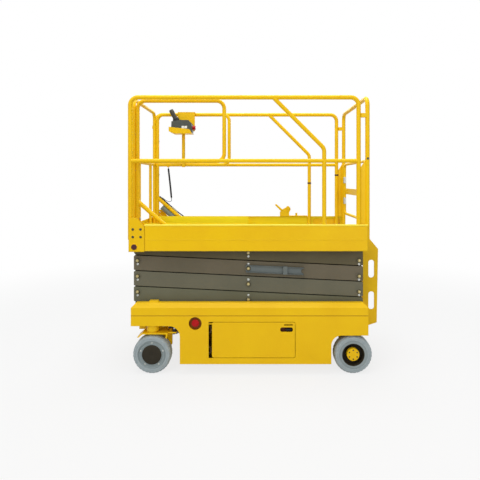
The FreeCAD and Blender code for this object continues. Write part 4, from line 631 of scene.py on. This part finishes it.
# Gate hinges. Zinc-plated barrels on the far post's side with a spring barrel on the stile
# beside each, and the latch on the gate's free stile: a black moulded block.
gate_x, hinge_line = 1.040, 0.492
for name, body, spans in (("gate_hinge_barrels", "gate", ((0.0, 0.040),)),
                          ("gate_hinge_collars", "platform", ((-0.026, -0.0102), (0.041, 0.051)))):
    mesh = bmesh.new()
    for foot in (1.57925, 1.818):
        for low_end, high_end in spans:
            turned(mesh, (gate_x, hinge_line, foot + low_end), (0, 0, 1), [
                (0, 0), (0.0118, 0), (0.0128, 0.001), (0.0128, high_end - low_end - 0.001),
                (0.0118, high_end - low_end), (0, high_end - low_end)], 28)
    piece(name, mesh, body, white_zinc)
mesh = bmesh.new()
for foot in (1.549, 1.790):
    turned(mesh, (gate_x - 0.008, 0.4325, foot), (0, 0, 1), [
        (0, 0), (0.0135, 0), (0.0150, 0.0015), (0.0150, 0.0705), (0.0135, 0.072), (0, 0.072)], 28)
piece("gate_spring_barrels", mesh, "gate", white_zinc)
mesh = bmesh.new()
block(mesh, (gate_x - 0.020, -0.462, 1.655), (gate_x - 0.014, -0.425, 1.745), 0.002)
block(mesh, (gate_x - 0.030, -0.458, 1.675), (gate_x - 0.019, -0.430, 1.725), 0.004)
piece("gate_latch", mesh, "gate", black_plastic)

# Rail fasteners. Bolt heads on the posts and gussets, and dark rubber bands round the far
# posts, where the guardrails are pinned.
bolts = bmesh.new()
for spot, axis in (((-1.1845, -0.430, 2.269), (1, 0, 0)), ((-1.1845, -0.430, 1.921), (1, 0, 0)),
                   ((-1.147, 0.430, 2.286), (1, 0, 0)), ((-1.147, 0.430, 1.890), (1, 0, 0)),
                   ((-1.142, -0.432, 1.452), (0, -1, 0)), ((-1.112, -0.432, 1.330), (0, -1, 0)),
                   ((-1.142, 0.428, 1.452), (0, -1, 0))):
    hex_bolt(bolts, spot, axis, 0.013, 0.3)
piece("rollout_rail_bolts", bolts, "rollout", white_zinc)
bolts = bmesh.new()
for side in (-1, 1):
    hex_bolt(bolts, (1.040, side * 0.551, 2.030), (0, side, 0), 0.016, 0.3)
# these bolts take the darker zinc, painted shade
piece("latch_plate_bolts", bolts, "platform", zinc_painted_shade)
mesh = bmesh.new()
for x, z in ((0.955, 1.886), (0.629, 1.791), (-1.196, 1.788)):
    turned(mesh, (x, 0.535, z - 0.010), (0, 0, 1), [
        (0.0205, 0), (0.0214, 0.001), (0.0214, 0.019), (0.0205, 0.020)], 32)
piece("post_bands", mesh, "platform", moulded_rubber("dark_brown_rubber", "#4A2210", "#3A180C"))

# Door latches. A paddle lever in the grip hole of each swing-out tray; the dark brown plate
# behind it, at the back of the hole, is painted shade.
grip_hole_shade = moulded_plastic("grip_hole_painted_shade", "#4A2114", 0.5)
for side, word in ((-1, "left"), (1, "right")):
    cup, lever = bmesh.new(), bmesh.new()
    near, far = sorted((side * 0.5446, side * 0.5476))
    block(cup, (0.2062, near, 0.3972), (0.3328, far, 0.4478))
    piece("door_grip_hole_shade_" + word, cup, "tray_" + word, grip_hole_shade)
    near, far = sorted((side * 0.5478, side * 0.566))
    block(lever, (0.262, near, 0.408), (0.322, far, 0.428), 0.004)
    piece("door_latch_lever_" + word, lever, "tray_" + word, black_plastic)

# Steering fittings. Zinc-plated elbows and adaptors under the deck behind each kingpin boss,
# and the nut on each ball joint of the tie rod.
for side, word in ((-1, "left"), (1, "right")):
    fittings = bmesh.new()
    for x, y in ((-0.895, 0.515), (-0.868, 0.485), (-0.842, 0.510)):
        turned(fittings, (x, side * y, 0.4698), (0, 0, -1), [
            (0.013, 0), (0.013, 0.010), (0.010, 0.012), (0.010, 0.020), (0.0135, 0.021), (0.0135, 0.033),
            (0.008, 0.035), (0, 0.035)], 6, 0.2)
        turned(fittings, (x - 0.012, side * y, 0.446), (1, 0, 0), [
            (0, 0), (0.0075, 0), (0.0095, 0.003), (0.0095, 0.020), (0.0075, 0.028), (0, 0.028)], 16)
    piece("deck_fittings_" + word, fittings, "chassis", white_zinc)
    nut = bmesh.new()
    turned(nut, (-0.795, side * 0.505, 0.4085), (0, 0, 1), [
        (0, 0), (0.018, 0), (0.018, 0.002), (0.015, 0.0025), (0.015, 0.011), (0.009, 0.0125), (0.009, 0.016),
        (0, 0.016)], 6, 0.3)
    piece("ball_joint_nut_" + word, nut, "knuckle_" + word, white_zinc)

# Batteries. Plain moulded black cases in the near tray. Caps, posts and leads aren't modelled,
# as the tray is shut in the picture.
dress(moulded_plastic("black_battery_case", "#17181A", 0.4), "batteries")

# Control station. A moulded box on the far rail: a dark grip that leans forward out of a
# pleated rubber boot, a red stop button at the rear end and a white display in the near side.
dress(grey_plastic, "control_box")
# the tube's grey is painted darker and greener than the plastic's own grey: painted shade
dress(moulded_plastic("grey_document_tube_painted_shade", "#7C857C", 0.5), "document_tube")
grip_foot, grip_way = Vector((-0.924, 0.316, 2.508)), Vector((-0.46, 0, 0.89))
mesh = bmesh.new()
turned(mesh, grip_foot, grip_way, [
    (0, 0.028), (0.0250, 0.028), (0.0252, 0.060), (0.0268, 0.095), (0.0272, 0.112), (0.0262, 0.124),
    (0.0225, 0.133), (0.0150, 0.1385), (0, 0.1405)], 40)
piece("control_grip", mesh, "rollout", moulded_plastic("brown_grey_grip", "#45423A", 0.4))
mesh = bmesh.new()
turned(mesh, grip_foot, grip_way, [
    (0, -0.006), (0.0360, -0.006), (0.0385, -0.001), (0.0385, 0.004), (0.0350, 0.007), (0.0375, 0.011),
    (0.0350, 0.015), (0.0362, 0.019), (0.0345, 0.023), (0.0345, 0.0275), (0.0275, 0.033), (0, 0.034)], 40)
piece("control_boot", mesh, "rollout", moulded_rubber("black_boot_rubber", "#171513", "#201D1A"))
mesh = bmesh.new()
turned(mesh, (-0.7432, 0.316, 2.426), (1, 0, 0), [
    (0, 0), (0.0225, 0), (0.0225, 0.0200), (0.0240, 0.0215), (0.0245, 0.0300), (0.0225, 0.0365),
    (0.0120, 0.0395), (0, 0.0400)], 40)
piece("control_stop", mesh, "rollout", red_plastic)
mesh = bmesh.new()
block(mesh, (-0.8548, 0.2512, 2.4122), (-0.8252, 0.2560, 2.4418), 0.0008)
block(mesh, (-0.8218, 0.2512, 2.4122), (-0.7922, 0.2560, 2.4418), 0.0008)
piece("control_display", mesh, "rollout", moulded_plastic("white_moulded_plastic", "#F2F3EC", 0.35))

# Curly cable. Black polyurethane, wound hot into a helix that springs back, from its gland
# under the mid rail down to the cable on the far brace.
black_jacket = moulded_plastic("black_cable_jacket", "#1B1B1C", 0.4)
rail_y = 0.430


def spline_curve(name, points, resolution):
    """One smooth NURBS spline with the points as its controls."""
    data = bpy.data.curves.new(name, "CURVE")
    data.dimensions = "3D"
    spline = data.splines.new("NURBS")
    spline.points.add(len(points) - 1)
    for spot, point in zip(spline.points, points):
        spot.co = (*point, 1)
    spline.order_u = 3
    spline.use_endpoint_u = True
    spline.resolution_u = resolution
    return data


def cord_line(points):
    """The route's smooth centre line, as points."""
    data = spline_curve("route", points, 24)
    holder = bpy.data.objects.new("route", data)
    scene.collection.objects.link(holder)
    bpy.context.view_layer.update()
    mesh = bpy.data.meshes.new_from_object(holder)
    line = [v.co.copy() for v in mesh.vertices]
    bpy.data.meshes.remove(mesh)
    bpy.data.objects.remove(holder)
    bpy.data.curves.remove(data)
    return line


def cord_piece(name, points, radius, body):
    """A round cord on its spline."""
    data = spline_curve(name, points, 6)
    data.bevel_depth = radius
    data.bevel_resolution = 3
    data.use_fill_caps = True
    data.materials.append(black_jacket)
    made = bpy.data.objects.new(name, data)
    scene.collection.objects.link(made)
    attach(made, body)
    return made


curl_route = [(-1.041, rail_y, 1.9784), (-1.028, rail_y, 1.860), (-1.010, rail_y, 1.700),
              (-1.003, rail_y, 1.605)]
tail_route = [(-1.003, rail_y, 1.604), (-1.003, rail_y, 1.580), (-1.028, rail_y, 1.570),
              (-1.072, rail_y, 1.590), (-1.1095, rail_y, 1.622)]
wire_radius, curl_radius, curl_pitch, turn_points = 0.003, 0.0085, 0.0072, 12
line = cord_line(curl_route)
total = sum((b - a).length for a, b in zip(line, line[1:]))
count = int(total / curl_pitch * turn_points)
helix = []
passed, leg = 0.0, 0
for i in range(count + 1):
    at = total * i / count
    while leg < len(line) - 2 and passed + (line[leg + 1] - line[leg]).length < at:
        passed += (line[leg + 1] - line[leg]).length
        leg += 1
    way = (line[leg + 1] - line[leg]).normalized()
    centre = line[leg] + way * (at - passed)
    across = Vector((0, 1, 0))
    other = way.cross(across).normalized()
    angle = 2 * math.pi * i / turn_points
    # the first and last turns draw in to the middle line
    reach = curl_radius * min(1.0, max(0.0, at - 0.010) / 0.012, max(0.0, total - 0.008 - at) / 0.012)
    helix.append(centre + (across * math.cos(angle) + other * math.sin(angle)) * reach)
cable_points = helix + [Vector(p) for p in tail_route[1:]]
cable = cord_piece("curly_cable", cable_points, wire_radius, "rollout")
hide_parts("control_cable", "cable_tail")

# Main control cable. It lies along the far brace of the roll-out rail, from the gusset up,
# and a pale woven sleeve with a collar at each end guards it half way.
brace_route = [(-1.142, rail_y, 1.6375), (-1.072, rail_y, 1.576), (-0.997, rail_y, 1.511),
               (-0.929, rail_y, 1.452), (-0.862, rail_y, 1.404), (-0.788, rail_y, 1.340),
               (-0.721, rail_y, 1.2765)]
brace_radius = 0.0065
mesh = bmesh.new()
sleeve_foot = Vector(brace_route[2])
sleeve_way = Vector(brace_route[3]) - sleeve_foot
turned(mesh, sleeve_foot, sleeve_way, [
    (0.0070, 0.0), (0.0105, 0.001), (0.0105, 0.018), (0.0090, 0.020), (0.0090, 0.072), (0.0105, 0.074),
    (0.0105, 0.088), (0.0070, 0.089)], 20)
piece("brace_cable_sleeve", mesh, "rollout", moulded_plastic("grey_woven_sleeve", "#B4B3A2", 0.6))
made = cord_piece("brace_cable_jacket", brace_route, brace_radius, "rollout")
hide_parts("brace_cable")
